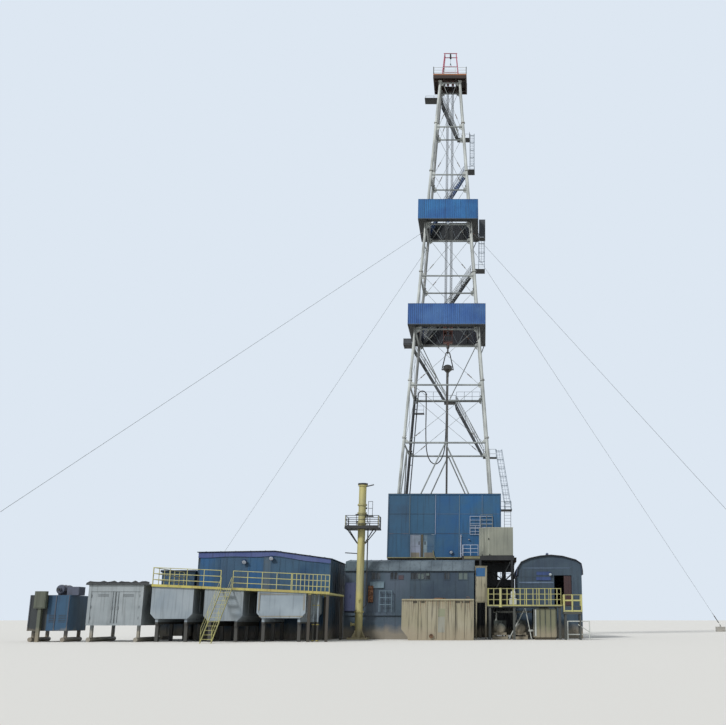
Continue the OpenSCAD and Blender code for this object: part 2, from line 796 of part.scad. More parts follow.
// Route of the rotary hose from the gooseneck down, round its loop and up to the swivel
hose_route = [
    [-1200, 1640, 12549], [-1200, 1632, 12250], [-1198, 1600, 11850], [-1195, 1540, 11300], [-1190, 1450, 10600],
    [-1165, 1330, 9950], [-1110, 1180, 9420], [-1000, 1000, 9020], [-830, 820, 8750], [-620, 650, 8640],
    [-420, 520, 8720], [-260, 430, 8960], [-150, 375, 9330], [-95, 348, 9900], [-70, 337, 10700],
    [-62, 331, 11600], [-60, 330, 12400], [-60, 330, 13100], [-60, 330, 13649]
];
function curve_point(p, i, t) =
    let (
        n = len(p) - 1,
        a = p[max(i - 1, 0)],
        b = p[i],
        c = p[min(i + 1, n)],
        d = p[min(i + 2, n)]
    )
    0.5 * (2 * b + (c - a) * t + (2 * a - 5 * b + 4 * c - d) * t * t + (3 * b - a - 3 * c + d) * t * t * t);
function curve(p, steps) = [for (i = [0:len(p) - 2], k = [0:steps - 1]) curve_point(p, i, k / steps),
    p[len(p) - 1]];

// A tube swept along a list of points, with a flat end at each end
module swept_tube(path, d, sides) {
    n = len(path);
    rings = [
        for (i = [0:n - 1])
            let (
                u = unit(path[min(i + 1, n - 1)] - path[max(i - 1, 0)]),
                side = unit(cross(u, [0.35, 0.93, 0.05])),
                up = cross(side, u)
            )
            for (k = [0:sides - 1])
                path[i] + d / 2 * (cos(360 * k / sides) * side + sin(360 * k / sides) * up)
    ];
    skin = [for (i = [0:n - 2], k = [0:sides - 1])
        [i * sides + k, i * sides + (k + 1) % sides, (i + 1) * sides + (k + 1) % sides, (i + 1) * sides + k]];
    ends = [[for (k = [sides - 1:-1:0]) k], [for (k = [0:sides - 1]) (n - 1) * sides + k]];
    polyhedron(rings, concat(skin, ends), convexity = 4);
}

module rotary_hose() {
    color("dimgray") swept_tube(curve(hose_route, 3), hose_d, 8);
}

// Drill floor and substructure

frame_inset = 200;
outer_post_y = floor_half_y - 300;
floor_beam_y = 0.55 * floor_half_y;

module drill_floor() {
    w = well_half;
    color("darkgray") {
        floor_part([floor_left, -floor_half_y], [floor_right, -w - seat], [-outer_post_y, -floor_beam_y]);
        floor_part([floor_left, w + seat], [floor_right, floor_half_y], [floor_beam_y, outer_post_y]);
        floor_part([floor_left, -w], [-w, w], [0]);
        floor_part([w, -w], [floor_right, w], [0]);
    }
}

// A stretch of floor plate with its beams along X
module floor_part(lo, hi, beams) {
    block([lo[0], lo[1], floor_z - plate_t], [hi[0], hi[1], floor_z]);
    for (y = beams)
        block([lo[0], y - 60, beam_z], [hi[0], y + 60, floor_z - plate_t + 1]);
}

module rotary_table() {
    color("dimgray")
        difference() {
            union() {
                block([-450, -380, floor_z], [450, 380, floor_z + 90]);
                translate([0, 0, floor_z + 80])
                    cylinder(h = 60, d = 620, $fn = 64);
                translate([0, 0, floor_z + 130])
                    cylinder(h = 70, d = 240, $fn = 48);
            }
            translate([0, 0, floor_z - 1])
                cylinder(h = 300, d = table_bore_d, $fn = 48);
        }
}

frame_w = 200;
chord_h = 200;

frame_post_w = 160;

// A chord of a side frame: an I-beam along Y, seen from its end
module chord(x, z) {
    w = frame_w / 2;
    h = chord_h;
    flange = 24;
    web = 12;
    length = floor_half_y - frame_inset;
    slab_y(-length, length, [for (p = [[-w, 0], [w, 0], [w, flange], [web, flange], [web, h - flange],
        [w, h - flange], [w, h], [-w, h], [-w, h - flange], [-web, h - flange], [-web, flange], [-w, flange]])
        p + [x, z]]);
}

// Side frame under a pair of derrick legs, in the Y-Z plane
module side_frame(x) {
    bay = outer_post_y * 2 / 3;
    chord(x, 0);
    chord(x, beam_z - chord_h);
    for (i = [-1.5:1.5])
        block([x - frame_post_w / 2, i * bay - frame_post_w / 2, chord_h - 1],
            [x + frame_post_w / 2, i * bay + frame_post_w / 2, beam_z - chord_h + 1]);
    for (i = [-1:1], s = [-1, 1])
        bar([x, i * bay - s * (bay / 2 - 50), chord_h - 20],
            [x, i * bay + s * (bay / 2 - 50), beam_z - chord_h + 20], 70);
}

// Cross bracing between the side frames
module cross_frame(y) {
    x = derrick_base / 2 - frame_w / 2 - seat;
    block([-x, y - 60, 0], [x, y + 60, 160]);
    block([-x, y - 60, beam_z - 160], [x, y + 60, beam_z]);
    block([-70, y - 60, 159], [70, y + 60, beam_z - 159]);
    for (s = [-1, 1], d = [-1, 1])
        bar([s * x / 2 - d * (x / 2 - 90), y, 140], [s * x / 2 + d * (x / 2 - 90), y, beam_z - 140], 60);
}

module substructure() {
    color("dimgray") {
        for (s = [-1, 1]) {
            side_frame(s * derrick_base / 2);
            cross_frame(s * (floor_half_y - 2 * frame_inset));
        }
    }
}

// Wind walls round the drill floor, in slabs beside and over each doorway
module wind_walls() {
    z1 = floor_z + wall_h;
    y0 = wall_y;
    y1 = wall_y + wall_t;
    door_z = floor_z + door_h;
    inner_left = floor_left + wall_t;
    inner_right = wall_right - wall_t;
    back = floor_half_y;
    half = pipe_door_w / 2;
    side_door_end = side_door_y + side_door_w;
    color("steelblue") {
        block([floor_left, y0, floor_z], [door_left_x, y1, z1]);
        block([door_left_end, y0, floor_z], [door_right_x, y1, door_z]);
        block([door_right_end, y0, floor_z], [wall_right, y1, z1]);
        block([door_left_x + seat, y0, door_z + seat], [door_right_end - seat, y1, z1]);
        block([floor_left, y1 + seat, floor_z], [inner_left, back, z1]);
        block([inner_right, y1 + seat, floor_z], [wall_right, side_door_y, z1]);
        block([inner_right, side_door_end, floor_z], [wall_right, back, z1]);
        block([inner_right, side_door_y + seat, door_z], [wall_right, side_door_end - seat, z1]);
        block([inner_left + seat, back - wall_t, floor_z], [-half, back, z1]);
        block([half, back - wall_t, floor_z], [inner_right - seat, back, z1]);
        block([-half + seat, back - wall_t, floor_z + pipe_door_h], [half - seat, back, z1]);
        for (x = wall_seams)
            wall_batten(x, x > door_left_x && x < door_right_end ? door_z : floor_z + 2 * batten_t, z1);
        block([floor_left, y0 - seat - 2 * batten_t, z1 - batten_w], [wall_right, y0 - seat, z1]);
        for (x = [floor_left + batten_w / 2, wall_right - batten_w / 2])
            wall_batten(x, floor_z + 2 * batten_t, z1);
    }
}

side_door_y = 700;
side_door_w = 600;
pipe_door_w = 1800;
pipe_door_h = 2000;
batten_w = 70;
batten_t = 12;
// Places of the seams between the front wall's sheets
wall_seams = [door_left_x - batten_w / 2, -400, 736, 1825];

// A strip over a seam of the front wall
module wall_batten(x, z0, z1) {
    block([x - batten_w / 2, wall_y - seat - batten_t, z0],
        [x + batten_w / 2, wall_y - seat, z1 - batten_w - seat]);
}

hinge_pin_d = 14;
hinge_gap = 0.3;
hinge_zs = [160, door_h - 240];
hinge_y = wall_y + wall_t + 14;

// A door leaf with two knuckles, its hinge line at x, opening to side s
module door_leaf(x, w, s) {
    z0 = floor_z + leaf_gap;
    z1 = floor_z + door_h - leaf_gap;
    near = x + s * leaf_gap;
    far = x + s * (w - leaf_gap);
    difference() {
        union() {
            block([min(near, far), wall_y + wall_t - leaf_t, z0], [max(near, far), wall_y + wall_t, z1]);
            for (h = hinge_zs) {
                translate([x, hinge_y, floor_z + h])
                    cylinder(h = 80, r = hinge_pin_d / 2 + 6, $fn = 32);
                block([min(x, near + s * 60), wall_y + wall_t - 1, floor_z + h],
                    [max(x, near + s * 60), hinge_y - 2, floor_z + h + 80]);
            }
        }
        for (h = hinge_zs)
            translate([x, hinge_y, floor_z + h - 1])
                cylinder(h = 82, r = hinge_pin_d / 2 + hinge_gap, $fn = 32);
    }
}

// Hinge pins on their brackets
module door_hinge(x, s) {
    for (h = hinge_zs) {
        translate([x, hinge_y, floor_z + h - 22])
            cylinder(h = 124, d = hinge_pin_d, $fn = 32);
        for (z = [h - 22, h + 86])
            block([x - 9 - (s > 0 ? 50 : 0), wall_y + wall_t + seat, floor_z + z],
                [x + 9 + (s > 0 ? 0 : 50), hinge_y + 9, floor_z + z + 16]);
    }
}

module front_door_left() {
    color("gainsboro") door_leaf(door_left_x, door_left_w, 1);
}

module front_door_right() {
    color("lightsteelblue") door_leaf(door_right_end, door_right_w, -1);
}

module door_hinges() {
    color("dimgray") {
        door_hinge(door_left_x, 1);
        door_hinge(door_right_end, -1);
    }
}

// Stair from the ground to the side walkway
module floor_stair() {
    color("gold")
        translate([floor_right - 60, 0, 0])
            rotate([0, 0, 90])
                flight(floor_half_y + 3300, 0, floor_half_y + seat, floor_z, 0, 600, 150);
}

// Balcony, control cabin

module balcony() {
    y0 = wall_y - balcony_depth;
    y1 = wall_y - seat;
    color("darkkhaki") {
        block([balcony_left, y0, floor_z - plate_t], [balcony_right, y1, floor_z]);
        for (y = [y0 + 50, y1 - 100])
            block([balcony_left, y - 50, beam_z], [balcony_right, y + 50, floor_z - plate_t + 1]);
        for (x = [cabin_left + 60, cabin_right - 60])
            block([x - 60, y0, beam_z], [x + 60, y1, floor_z - plate_t + 1]);
        for (x = [cabin_left + 60, cabin_right - 60])
            block([x - 50, y0 + 10, 0], [x + 50, y0 + 110, beam_z - seat]);
        bar([cabin_left + 130, y0 + 60, 1000], [cabin_right - 130, y0 + 60, beam_z - 100], 60);
    }
    color("white") {
        rail_run([[balcony_left + 30, y1 - 30, floor_z], [balcony_left + 30, y0 + 30, floor_z],
            [cabin_left - 30, y0 + 30, floor_z]], 500, 20, 400, 3);
    }
}

module control_cabin() {
    y0 = wall_y - balcony_depth + 40;
    y1 = wall_y - 60;
    z1 = floor_z + cabin_h;
    t = 30;
    plan = [[cabin_left, y1], [cabin_left, y0 + cabin_chamfer], [cabin_left + cabin_chamfer, y0],
        [cabin_right, y0], [cabin_right, y1]];
    inner = [[cabin_left + t, y1], [cabin_left + t, y0 + cabin_chamfer + t * 0.4],
        [cabin_left + cabin_chamfer + t * 0.4, y0 + t], [cabin_right - t, y0 + t], [cabin_right - t, y1]];
    top = z1 - t - seat;
    door = [cabin_left + 500, cabin_left + 1000];
    color("darkkhaki") {
        for (i = [0:3])
            let (u = unit(plan[i + 1] - plan[i]) * seat)
                translate([0, 0, floor_z]) linear_extrude(top - floor_z)
                    polygon([plan[i] + u, plan[i + 1] - u, inner[i + 1] - u, inner[i] + u]);
        block([cabin_left + t + seat, y1 - t, floor_z], [door[0], y1, top]);
        block([door[1], y1 - t, floor_z], [cabin_right - t - seat, y1, top]);
        block([door[0] + seat, y1 - t, floor_z + door_h], [door[1] - seat, y1, top]);
        translate([0, 0, z1 - t]) linear_extrude(t) polygon(plan);
    }
    color("white")
        rail_run([[cabin_left + 60, y1 - 30, z1], [cabin_left + 640, y1 - 30, z1]], 700, 20, 290, 3);
}

// Ground units on the right

pump_x0 = -4000;
pump_x1 = 1480;
pump_y0 = -7500;
pump_y1 = -3300;
pump_eave = 2790;
house_t = 40;

module pump_house() {
    color("slategray") {
        difference() {
            block([pump_x0, pump_y0, 0], [pump_x1, pump_y0 + house_t, pump_eave]);
            for (w = pump_windows)
                block([w[0] - w[1] / 2, pump_y0 - 1, window_z0],
                    [w[0] + w[1] / 2, pump_y0 + house_t + 1, window_z1]);
        }
        for (w = pump_windows)
            window_frame(w[0], w[1]);
        block([pump_x0, pump_y0 + house_t + seat, 0], [pump_x0 + house_t, pump_door_y, pump_eave]);
        block([pump_x0, pump_door_y + pump_door_w, 0], [pump_x0 + house_t, pump_y1, pump_eave]);
        block([pump_x0, pump_door_y + seat, pump_door_h],
            [pump_x0 + house_t, pump_door_y + pump_door_w - seat, pump_eave]);
        block([pump_x0, pump_y0 - seat - base_beam_w, base_beam_z],
            [tank_x0 - 2 * base_beam_w, pump_y0 - seat, base_beam_z + base_beam_h]);
        block([pump_x1 - house_t, pump_y0 + house_t + seat, 0], [pump_x1, pump_y1, pump_eave]);
        block([pump_x0 + house_t + seat, pump_y1 - house_t, 0],
            [pump_x1 - house_t - seat, pump_y1, pump_eave]);
        block([pump_x0 + house_t + seat, pump_y0 + house_t + seat, window_z0 - house_t],
            [pump_x1 - house_t - seat, pump_y0 + house_t + 12, window_z1 + house_t]);
    }
}

// Middle and width of each window of the pump house
pump_windows = [[-2680, 380], [-1915, 300], [-790, 820], [335, 220], [1015, 380]];
window_z0 = 2440;
window_z1 = 2730;
frame_bar = 26;
pump_door_y = -5600;
pump_door_w = 700;
pump_door_h = 1200;
base_beam_w = 70;
base_beam_h = 125;
base_beam_z = 960;

// A frame round a window, with a bar down its middle, on the wall's face
module window_frame(x, w) {
    y1 = pump_y0 - seat;
    slab = frame_bar;
    difference() {
        block([x - w / 2 - slab, y1 - slab / 2, window_z0 - slab], [x + w / 2 + slab, y1, window_z1 + slab]);
        for (s = [-1, 1])
            block([x + s * (w / 4 + slab / 4) - w / 4 + slab / 4, y1 - slab, window_z0],
                [x + s * (w / 4 + slab / 4) + w / 4 - slab / 4, y1 + 1, window_z1]);
    }
}

// Sagging canopy roof: a steep front band, a low crown and a rear slope
module pump_house_roof() {
    t = 24;
    rise = [[pump_y0 - 60, pump_eave], [pump_y0 + 300, pump_eave + 420], [pump_y0 + 1700, pump_eave + 560],
        [pump_y0 + 2900, pump_eave + 520], [pump_y1 + 60, pump_eave + 180], [pump_y1 + 60, pump_eave]];
    under = [[pump_y1 + 60 - t, pump_eave], [pump_y1 + 60 - t, pump_eave + 160],
        [pump_y0 + 2900, pump_eave + 520 - t], [pump_y0 + 1700, pump_eave + 560 - t],
        [pump_y0 + 300 + t * 0.6, pump_eave + 420 - t], [pump_y0 - 60 + t * 1.2, pump_eave]];
    color("lightslategray") {
        slab_x(pump_x0 - 20, pump_x1 + 20, concat(rise, under));
        for (x = [pump_x0 - 20 + 0, pump_x1 + 20 - house_t])
            slab_x(x, x + house_t, rise);
    }
}

shelter_x0 = 3425;
shelter_x1 = 6250;
shelter_y0 = -5500;
shelter_y1 = -900;
shelter_door_w = 775;
shelter_door_off = 450;
// Outline of the shelter's arched gable, from the left eave over the top
shelter_arch = [[shelter_x0, 2700], [3450, 2990], [3605, 3270], [3965, 3430], [4415, 3530], [4900, 3570],
    [5400, 3520], [5970, 3360], [6200, 3200], [shelter_x1, 2900], [shelter_x1, 2700]];

module shelter() {
    door = [shelter_x1 - shelter_door_off - shelter_door_w, shelter_x1 - shelter_door_off];
    eave = shelter_arch[0][1];
    y = shelter_y0;
    y1 = y + house_t;
    front = y - seat;
    color("darkslateblue") {
        block([shelter_x0, y, 0], [door[0], y1, eave]);
        block([door[1], y, 0], [shelter_x1, y1, eave]);
        block([door[0] + seat, y, 0], [door[1] - seat, y1, platform_z]);
        slab_y(y, y1, concat([[shelter_x1, eave + seat], [shelter_x0, eave + seat]],
            [for (i = [1:len(shelter_arch) - 2]) shelter_arch[i]]));
        block([shelter_x0, front - batten_t, eave - batten_w], [door[0] - 2 * seat, front, eave]);
        for (x = [door[0] - batten_w - seat, door[1] + seat])
            block([x, front - batten_t, platform_z], [x + batten_w, front, eave - batten_w - seat]);
        slab_y(shelter_y1 - house_t, shelter_y1, concat([[shelter_x1, 0], [shelter_x0, 0]], shelter_arch));
        for (x = [shelter_x0, shelter_x1 - house_t])
            block([x, y1 + seat, 0], [x + house_t, shelter_y1 - house_t - seat, eave]);
    }
}

module shelter_roof() {
    t = 24;
    lift = 1;
    mid = (shelter_x0 + shelter_x1) / 2;
    outer = [for (p = shelter_arch) [mid + (p[0] - mid) * 1.03, p[1] + t + lift]];
    inner = [for (p = shelter_arch) [mid + (p[0] - mid) * 1.008, p[1] + lift]];
    color("slategray")
        slab_y(shelter_y0 - 60, shelter_y1 + 60, concat(outer, reversed(inner)));
}

platform_x0 = 2050;
platform_x1 = 5125;
platform_y0 = -8500;
platform_y1 = -6100;
platform_z = 1385;

module right_platform() {
    color("gold") {
        block([platform_x0, platform_y0, platform_z - 90], [platform_x1, platform_y1, platform_z]);
        posts([platform_x0 + 100, platform_x0 + 1100, platform_x1 - 100],
            [platform_y0 + 100, platform_y1 - 100],
            50, 0, platform_z - 90 - seat);
        rail_run([[platform_x0 + 20, platform_y1 - 20, platform_z],
            [platform_x0 + 20, platform_y0 + 20, platform_z],
            [platform_x1 - 20, platform_y0 + 20, platform_z]], 665, 30, 520, 3);
        block([step_x0, step_y0, step_z - 90], [step_x1, step_y1, step_z]);
        rail_run([[step_x0 + 20, step_y1 - 20, step_z], [step_x0 + 20, step_y0 + 20, step_z],
            [step_x1 - 20, step_y0 + 20, step_z], [step_x1 - 20, step_y1 - 20, step_z]], 685, 30, 350, 3);
    }
    color("white") {
        posts([step_x0 + 80, step_x1 - 80], [step_y0 + 70, step_y1 - 70], 30, 0, step_z - 90 - seat);
    }
}

// Small platform beside the right end of the large one
step_x0 = platform_x1 + 25;
step_x1 = step_x0 + 750;
step_y0 = platform_y0 - 500;
step_y1 = step_y0 + 700;
step_z = 1100;

// Low corner and high corner of the olive tank
olive_lo = [3950, -8380, 90];
olive_hi = [4900, -6900, 1240];
// Low corner and length of each pump set's skid
pump_sets = [[2260, -8000], [3080, -8000]];
skid_w = 640;
skid_l = 800;
skid_h = 120;

module right_platform_units() {
    color("darkkhaki") {
        block(olive_lo, olive_hi);
        for (y = [olive_lo[1] + 150, olive_hi[1] - 250])
            block([olive_lo[0] + 40, y, 0], [olive_hi[0] - 40, y + 100, olive_lo[2] + 1]);
        front_ribs(olive_lo, olive_hi, 5);
    }
    color("dimgray")
        for (p = pump_sets)
            pump_set(p[0], p[1]);
}

// A motor and its gearcase on a skid
module pump_set(x, y) {
    axis_z = skid_h + 330;
    block([x, y, 0], [x + skid_w, y + skid_l, skid_h]);
    for (s = [0, skid_w - 80])
        block([x + s, y + 40, skid_h - 1], [x + s + 80, y + skid_l - 40, skid_h + 60]);
    block([x + 60, y + skid_l * 0.55, skid_h + 59], [x + skid_w - 60, y + skid_l - 60, skid_h + 640]);
    block([x + 60, y + 60, skid_h + 59], [x + skid_w - 60, y + skid_l * 0.5, skid_h + 160]);
    translate([x + skid_w / 2, y + skid_l * 0.56, axis_z])
        rotate([90, 0, 0]) {
            cylinder(h = skid_l * 0.5, d = 420, $fn = 48);
            cylinder(h = skid_l * 0.54, d = 180, $fn = 32);
        }
}

// Rusty ribbed water tank with a cut lower left corner
tank_x0 = -1400;
tank_x1 = 1500;
tank_y0 = -9500;
tank_depth = 1200;
tank_z = 1600;

module water_tank() {
    outline = [[tank_x0 + 260, 0], [tank_x1, 0], [tank_x1, tank_z], [tank_x0, tank_z], [tank_x0, 420],
        [tank_x0 + 260, 120]];
    color("tan") {
        plate_tank(outline, tank_y0, tank_y0 + tank_depth, 30);
        for (i = [1:7])
            block([tank_x0 + 300 + (tank_x1 - tank_x0 - 300) * i / 7 - 45, tank_y0 - 30, 60],
                [tank_x0 + 300 + (tank_x1 - tank_x0 - 300) * i / 7 - 15, tank_y0 + 1, tank_z]);
        block([tank_x0, tank_y0 - 40, tank_z - 60], [tank_x1, tank_y0 + 1, tank_z]);
    }
}

cabinet_x = 1540;
cabinet_y = -7400;
cabinet_w = 490;
cabinet_z0 = 1500;
cabinet_z1 = 3000;

module switch_cabinet() {
    color("tan") {
        block([cabinet_x, cabinet_y, cabinet_z0], [cabinet_x + cabinet_w, cabinet_y + cabinet_w, cabinet_z1]);
        block([cabinet_x + 30, cabinet_y - 12, cabinet_z0 + 40],
            [cabinet_x + cabinet_w - 30, cabinet_y + 1, cabinet_z1 - 60]);
        block([cabinet_x - 15, cabinet_y - 30, cabinet_z1 - 20],
            [cabinet_x + cabinet_w + 15, cabinet_y + cabinet_w + 15, cabinet_z1 + 10]);
        posts([cabinet_x + 40, cabinet_x + cabinet_w - 40], [cabinet_y + 40, cabinet_y + cabinet_w - 40],
            30, 0, cabinet_z0 - seat);
    }
}

// Ground units on the left

shed_x0 = -9985;
shed_x1 = -4465;
shed_y0 = -8500;
shed_y1 = -3000;

shed_left_z = 3500;
shed_ridge_z = 3550;
shed_right_z = 3235;
shed_ridge_x = -6800;
shed_door = [-8000, -6200];
// Places of the seams between the shed's front sheets
shed_seams = [-9100, -7860, -6620, -5540];

// Height of the shed's roof at a place between its ends
function shed_at(x) = x < shed_ridge_x
    ? shed_left_z + (shed_ridge_z - shed_left_z) * (x - shed_x0) / (shed_ridge_x - shed_x0)
    : shed_right_z + (shed_ridge_z - shed_right_z) * (shed_x1 - x) / (shed_x1 - shed_ridge_x);

// The shed's roof line, raised by h and reaching over its ends by w
function shed_line(h, w) = [[shed_x0 - w, shed_left_z + h], [shed_ridge_x, shed_ridge_z + h],
    [shed_x1 + w, shed_right_z + h - w * 0.14]];

module shaker_house() {
    front = shed_y0 - seat;
    over = 60;
    color("steelblue") {
        slab_y(shed_y0, shed_y0 + house_t, concat([[shed_x1, 0], [shed_x0, 0]], shed_line(0, 0)));
        for (x = shed_seams)
            block([x - batten_w / 2, front - batten_t, 0],
                [x + batten_w / 2, front, shed_at(x) - fascia_h - 40]);
        slab_y(front - 2 * batten_t, front, concat(shed_line(-2, 0), reversed(shed_line(-fascia_h, 0))));
        block([shed_x0, shed_y0 + house_t + seat, 0], [shed_x0 + house_t, shed_y1, shed_left_z - 10]);
        block([shed_x1 - house_t, shed_y0 + house_t + seat, 0], [shed_x1, shed_y1, shed_right_z - 5]);
        block([shed_x0 + house_t + seat, shed_y1 - house_t, 0], [shed_door[0], shed_y1, shed_left_z - 10]);
        block([shed_door[1], shed_y1 - house_t, 0], [shed_x1 - house_t - seat, shed_y1, shed_right_z - 5]);
    }
    color("slateblue") {
        slab_y(shed_y0 - over, shed_y1 + over, concat(shed_line(31, over), reversed(shed_line(1, over))));
        side_unit();
    }
}

fascia_h = 210;
side_unit_lo = [-11430, -8560, 150];
side_unit_hi = [-10060, -7160, 2690];

// Low blue unit on the left of the shed: a ribbed box on two runners, under a roof plate
module side_unit() {
    block(side_unit_lo, side_unit_hi);
    for (x = [side_unit_lo[0] + 100, side_unit_hi[0] - 220])
        block([x, side_unit_lo[1], 0], [x + 120, side_unit_hi[1], side_unit_lo[2] + 1]);
    front_ribs(side_unit_lo, side_unit_hi, 5);
    block([side_unit_lo[0] - 50, side_unit_lo[1] - 60, side_unit_hi[2] - 1],
        [side_unit_hi[0] + 30, side_unit_hi[1] + 60, side_unit_hi[2] + 90]);
}

tank_y_front = -12500;
tank_y_back = -8640;
// Left side, right side and bottom height of each mud tank
tank_spans = [[-10485, -8925, 825], [-8515, -7065, 750], [-6535, -4725, 850]];
deck_slope = 0.0424;
deck_x0 = -10500;
deck_x1 = -3850;
deck_top = 2050;
deck_t = 60;
function deck_at(x) = deck_top - (x - deck_x0) * deck_slope;

tank_pipes_x = [-4640, -4470, -4300];
tank_pipe_d = 64;
border_w = 60;

// Front outline of a mud tank, from its lower left round to its upper left
function tank_outline(s) = [[s[0], s[2] + chamfer], [s[0] + chamfer, s[2]], [s[1] - chamfer, s[2]],
    [s[1], s[2] + chamfer], [s[1], deck_at(s[1]) - deck_t - seat], [s[0], deck_at(s[0]) - deck_t - seat]];
chamfer = 180;
border_t = 20;

module mud_tanks() {
    color("lightgray") {
        y1 = tank_y_front - seat;
        difference() {
            slab_y(y1 - border_t, y1, tank_outline(tank_spans[2]));
            slab_y(y1 - 2 * border_t, y1 + 1, inset(tank_outline(tank_spans[2]), border_w));
        }
        for (x = tank_pipes_x)
            bar([x, tank_y_front + 250, 0],
                [x, tank_y_front + 250, deck_at(x) - deck_t - seat - 3], tank_pipe_d, 32);
    }
    color("silver")
        for (s = tank_spans)
            plate_tank(tank_outline(s), tank_y_front, tank_y_back, 24, true);
    color("dimgray")
        for (s = tank_spans, x = [s[0] + chamfer + 60, s[1] - chamfer - 60]) {
            block([x - 50, tank_y_front + 60, s[2] - 200], [x + 50, tank_y_back - 60, s[2] - seat]);
            posts([x], [tank_y_front + 200, (tank_y_front + tank_y_back) / 2, tank_y_back - 200],
                60, 0, s[2] - 199);
        }
}

module tank_deck() {
    color("gold") {
        slab_y(tank_y_front - 60, tank_y_back, [
            [deck_x0, deck_top - deck_t], [deck_x1, deck_at(deck_x1) - deck_t],
            [deck_x1, deck_at(deck_x1)], [deck_x0, deck_top]]);
        y = tank_y_front - 40;
        stair_x = tank_stair_x - tank_stair_w;
        for (r = [[deck_x0 + 20, stair_x - 40, 620], [tank_stair_x + 20, close_rail_x - 40, 620],
            [close_rail_x, deck_x1 - 20, 160]])
            rail_panel([r[0], y, deck_at(r[0] - 15)], [r[1], y, deck_at(r[1] - 15)], 650, 30, r[2], 3);
        rail_panel([deck_x0 + 20, y + 40, deck_top],
            [deck_x0 + 20, tank_y_back - 20, deck_top], 650, 30, 640, 3);
    }
    color("dimgray")
        for (x = [deck_x1 - 80, deck_x1 - 750], y = [tank_y_front + 40, tank_y_back - 100])
            block([x - 50, y - 50, 0], [x + 50, y + 50, deck_at(x) - deck_t - seat - 3]);
}

tank_stair_x = -7500;
tank_stair_w = 400;
tank_stair_run = 2440;
// Place where the deck's railing posts begin to stand close together
close_rail_x = -5260;

module tank_stair() {
    top_y = tank_y_front - 60 - seat;
    color("gold")
        translate([tank_stair_x, 0, 0])
            rotate([0, 0, 90])
                flight(top_y - tank_stair_run, 0, top_y, deck_at(tank_stair_x - tank_stair_w / 2), 0,
                    tank_stair_w, 150);
}

column_at = [-3292, -8000, 0];
column_d = 315;
column_flange_d = 400;
column_top = 6410;
column_flanges = [1080, 4700, 5150, 5500];
column_base_w = 840;
column_platform_z = 4550;
column_platform = [-660, -500, 780, 500];

// Separator: flanged column with its platform, brackets and outlet
module separator_column() {
    p = column_platform;
    z = column_platform_z;
    translate(column_at) {
        color("gold") {
            translate([0, 0, 80 + seat])
                cylinder(h = column_top - 130, d = column_d, $fn = 64);
            for (z = column_flanges)
                translate([0, 0, z]) {
                    cylinder(h = 28, d = column_flange_d, $fn = 64);
                    translate([0, 0, 32]) cylinder(h = 28, d = column_flange_d, $fn = 64);
                }
            translate([0, 0, column_top - 80]) cylinder(h = 80, d = column_flange_d - 10, $fn = 64);
            block([-column_base_w / 2, -column_base_w / 2, 0], [column_base_w / 2, column_base_w / 2, 80]);
            for (a = [45:90:315])
                rotate([0, 0, a])
                    slab_y(-8, 8, [[column_d / 2 - 8, 80 + seat], [column_d / 2 + 190, 80 + seat],
                        [column_d / 2 + 190, 110], [column_d / 2 - 8, 420]]);
        }
        color("dimgray") {
            difference() {
                block([p[0], p[1], z - 50], [p[2], p[3], z]);
                translate([0, 0, z - 150]) cylinder(h = 300, d = column_d + 1, $fn = 64);
            }
            rail_run([[p[0] + 20, p[3] - 20, z], [p[0] + 20, p[1] + 20, z], [p[2] - 20, p[1] + 20, z],
                [p[2] - 20, p[3] - 20, z], [p[0] + 20, p[3] - 20, z]], 500, 20, 480, 3);
            for (sx = [-1, 1], sy = [-1, 1])
                bar([sx * 155, sy * 108, z - 650], [sx * 560, sy * 440, z - 66], 40);
        }
    }
}

// Power cabin: low and high corner, and the height of its runners
cabin_lo = [-12850, -12500, 585];
cabin_hi = [-10800, -9800, 2050];
cabin_leaf_w = 900;
// Engine box: low and high corner
engine_lo = [-15000, -12500, 390];
engine_hi = [-13500, -10800, 1680];
silencer_d = 340;
silencer_l = 900;

module left_units() {
    color("silver") {
        difference() {
            block(cabin_lo, cabin_hi);
            for (s = [-1, 1])
                let (x = (cabin_lo[0] + cabin_hi[0]) / 2 + s * (cabin_leaf_w / 2 + 15))
                    block([x - cabin_leaf_w / 2, cabin_lo[1] - 1, cabin_lo[2] + 70],
                        [x + cabin_leaf_w / 2, cabin_lo[1] + 20, cabin_hi[2] - 240]);
        }
        block([cabin_lo[0] - 100, cabin_lo[1] - 60, cabin_hi[2] + seat],
            [cabin_hi[0] + 200, cabin_hi[1] + 60, cabin_hi[2] + 40]);
        runners(cabin_lo, cabin_hi, 150);
    }
    color("steelblue") {
        block(engine_lo, engine_hi);
        front_ribs(engine_lo, engine_hi, 4);
        runners(engine_lo, engine_hi, 150);
    }
    color("silver") engine_silencer();
    color("darkolivegreen") control_box();
    color("silver")
        block([engine_hi[0] - 240, engine_lo[1] + 200, engine_hi[2] + seat],
            [engine_hi[0] + 200, engine_lo[1] + 800, engine_hi[2] + 310]);
}

// Two tubes under a unit, with a post at each end of each
module runners(lo, hi, inset) {
    d = 160;
    for (x = [lo[0] + inset, hi[0] - inset]) {
        bar([x, lo[1] - 20, d / 2], [x, hi[1] - 60, d / 2], d, 24);
        for (y = [lo[1] + 200, hi[1] - 300])
            block([x - 50, y, d / 2], [x + 50, y + 120, lo[2] - seat]);
    }
}

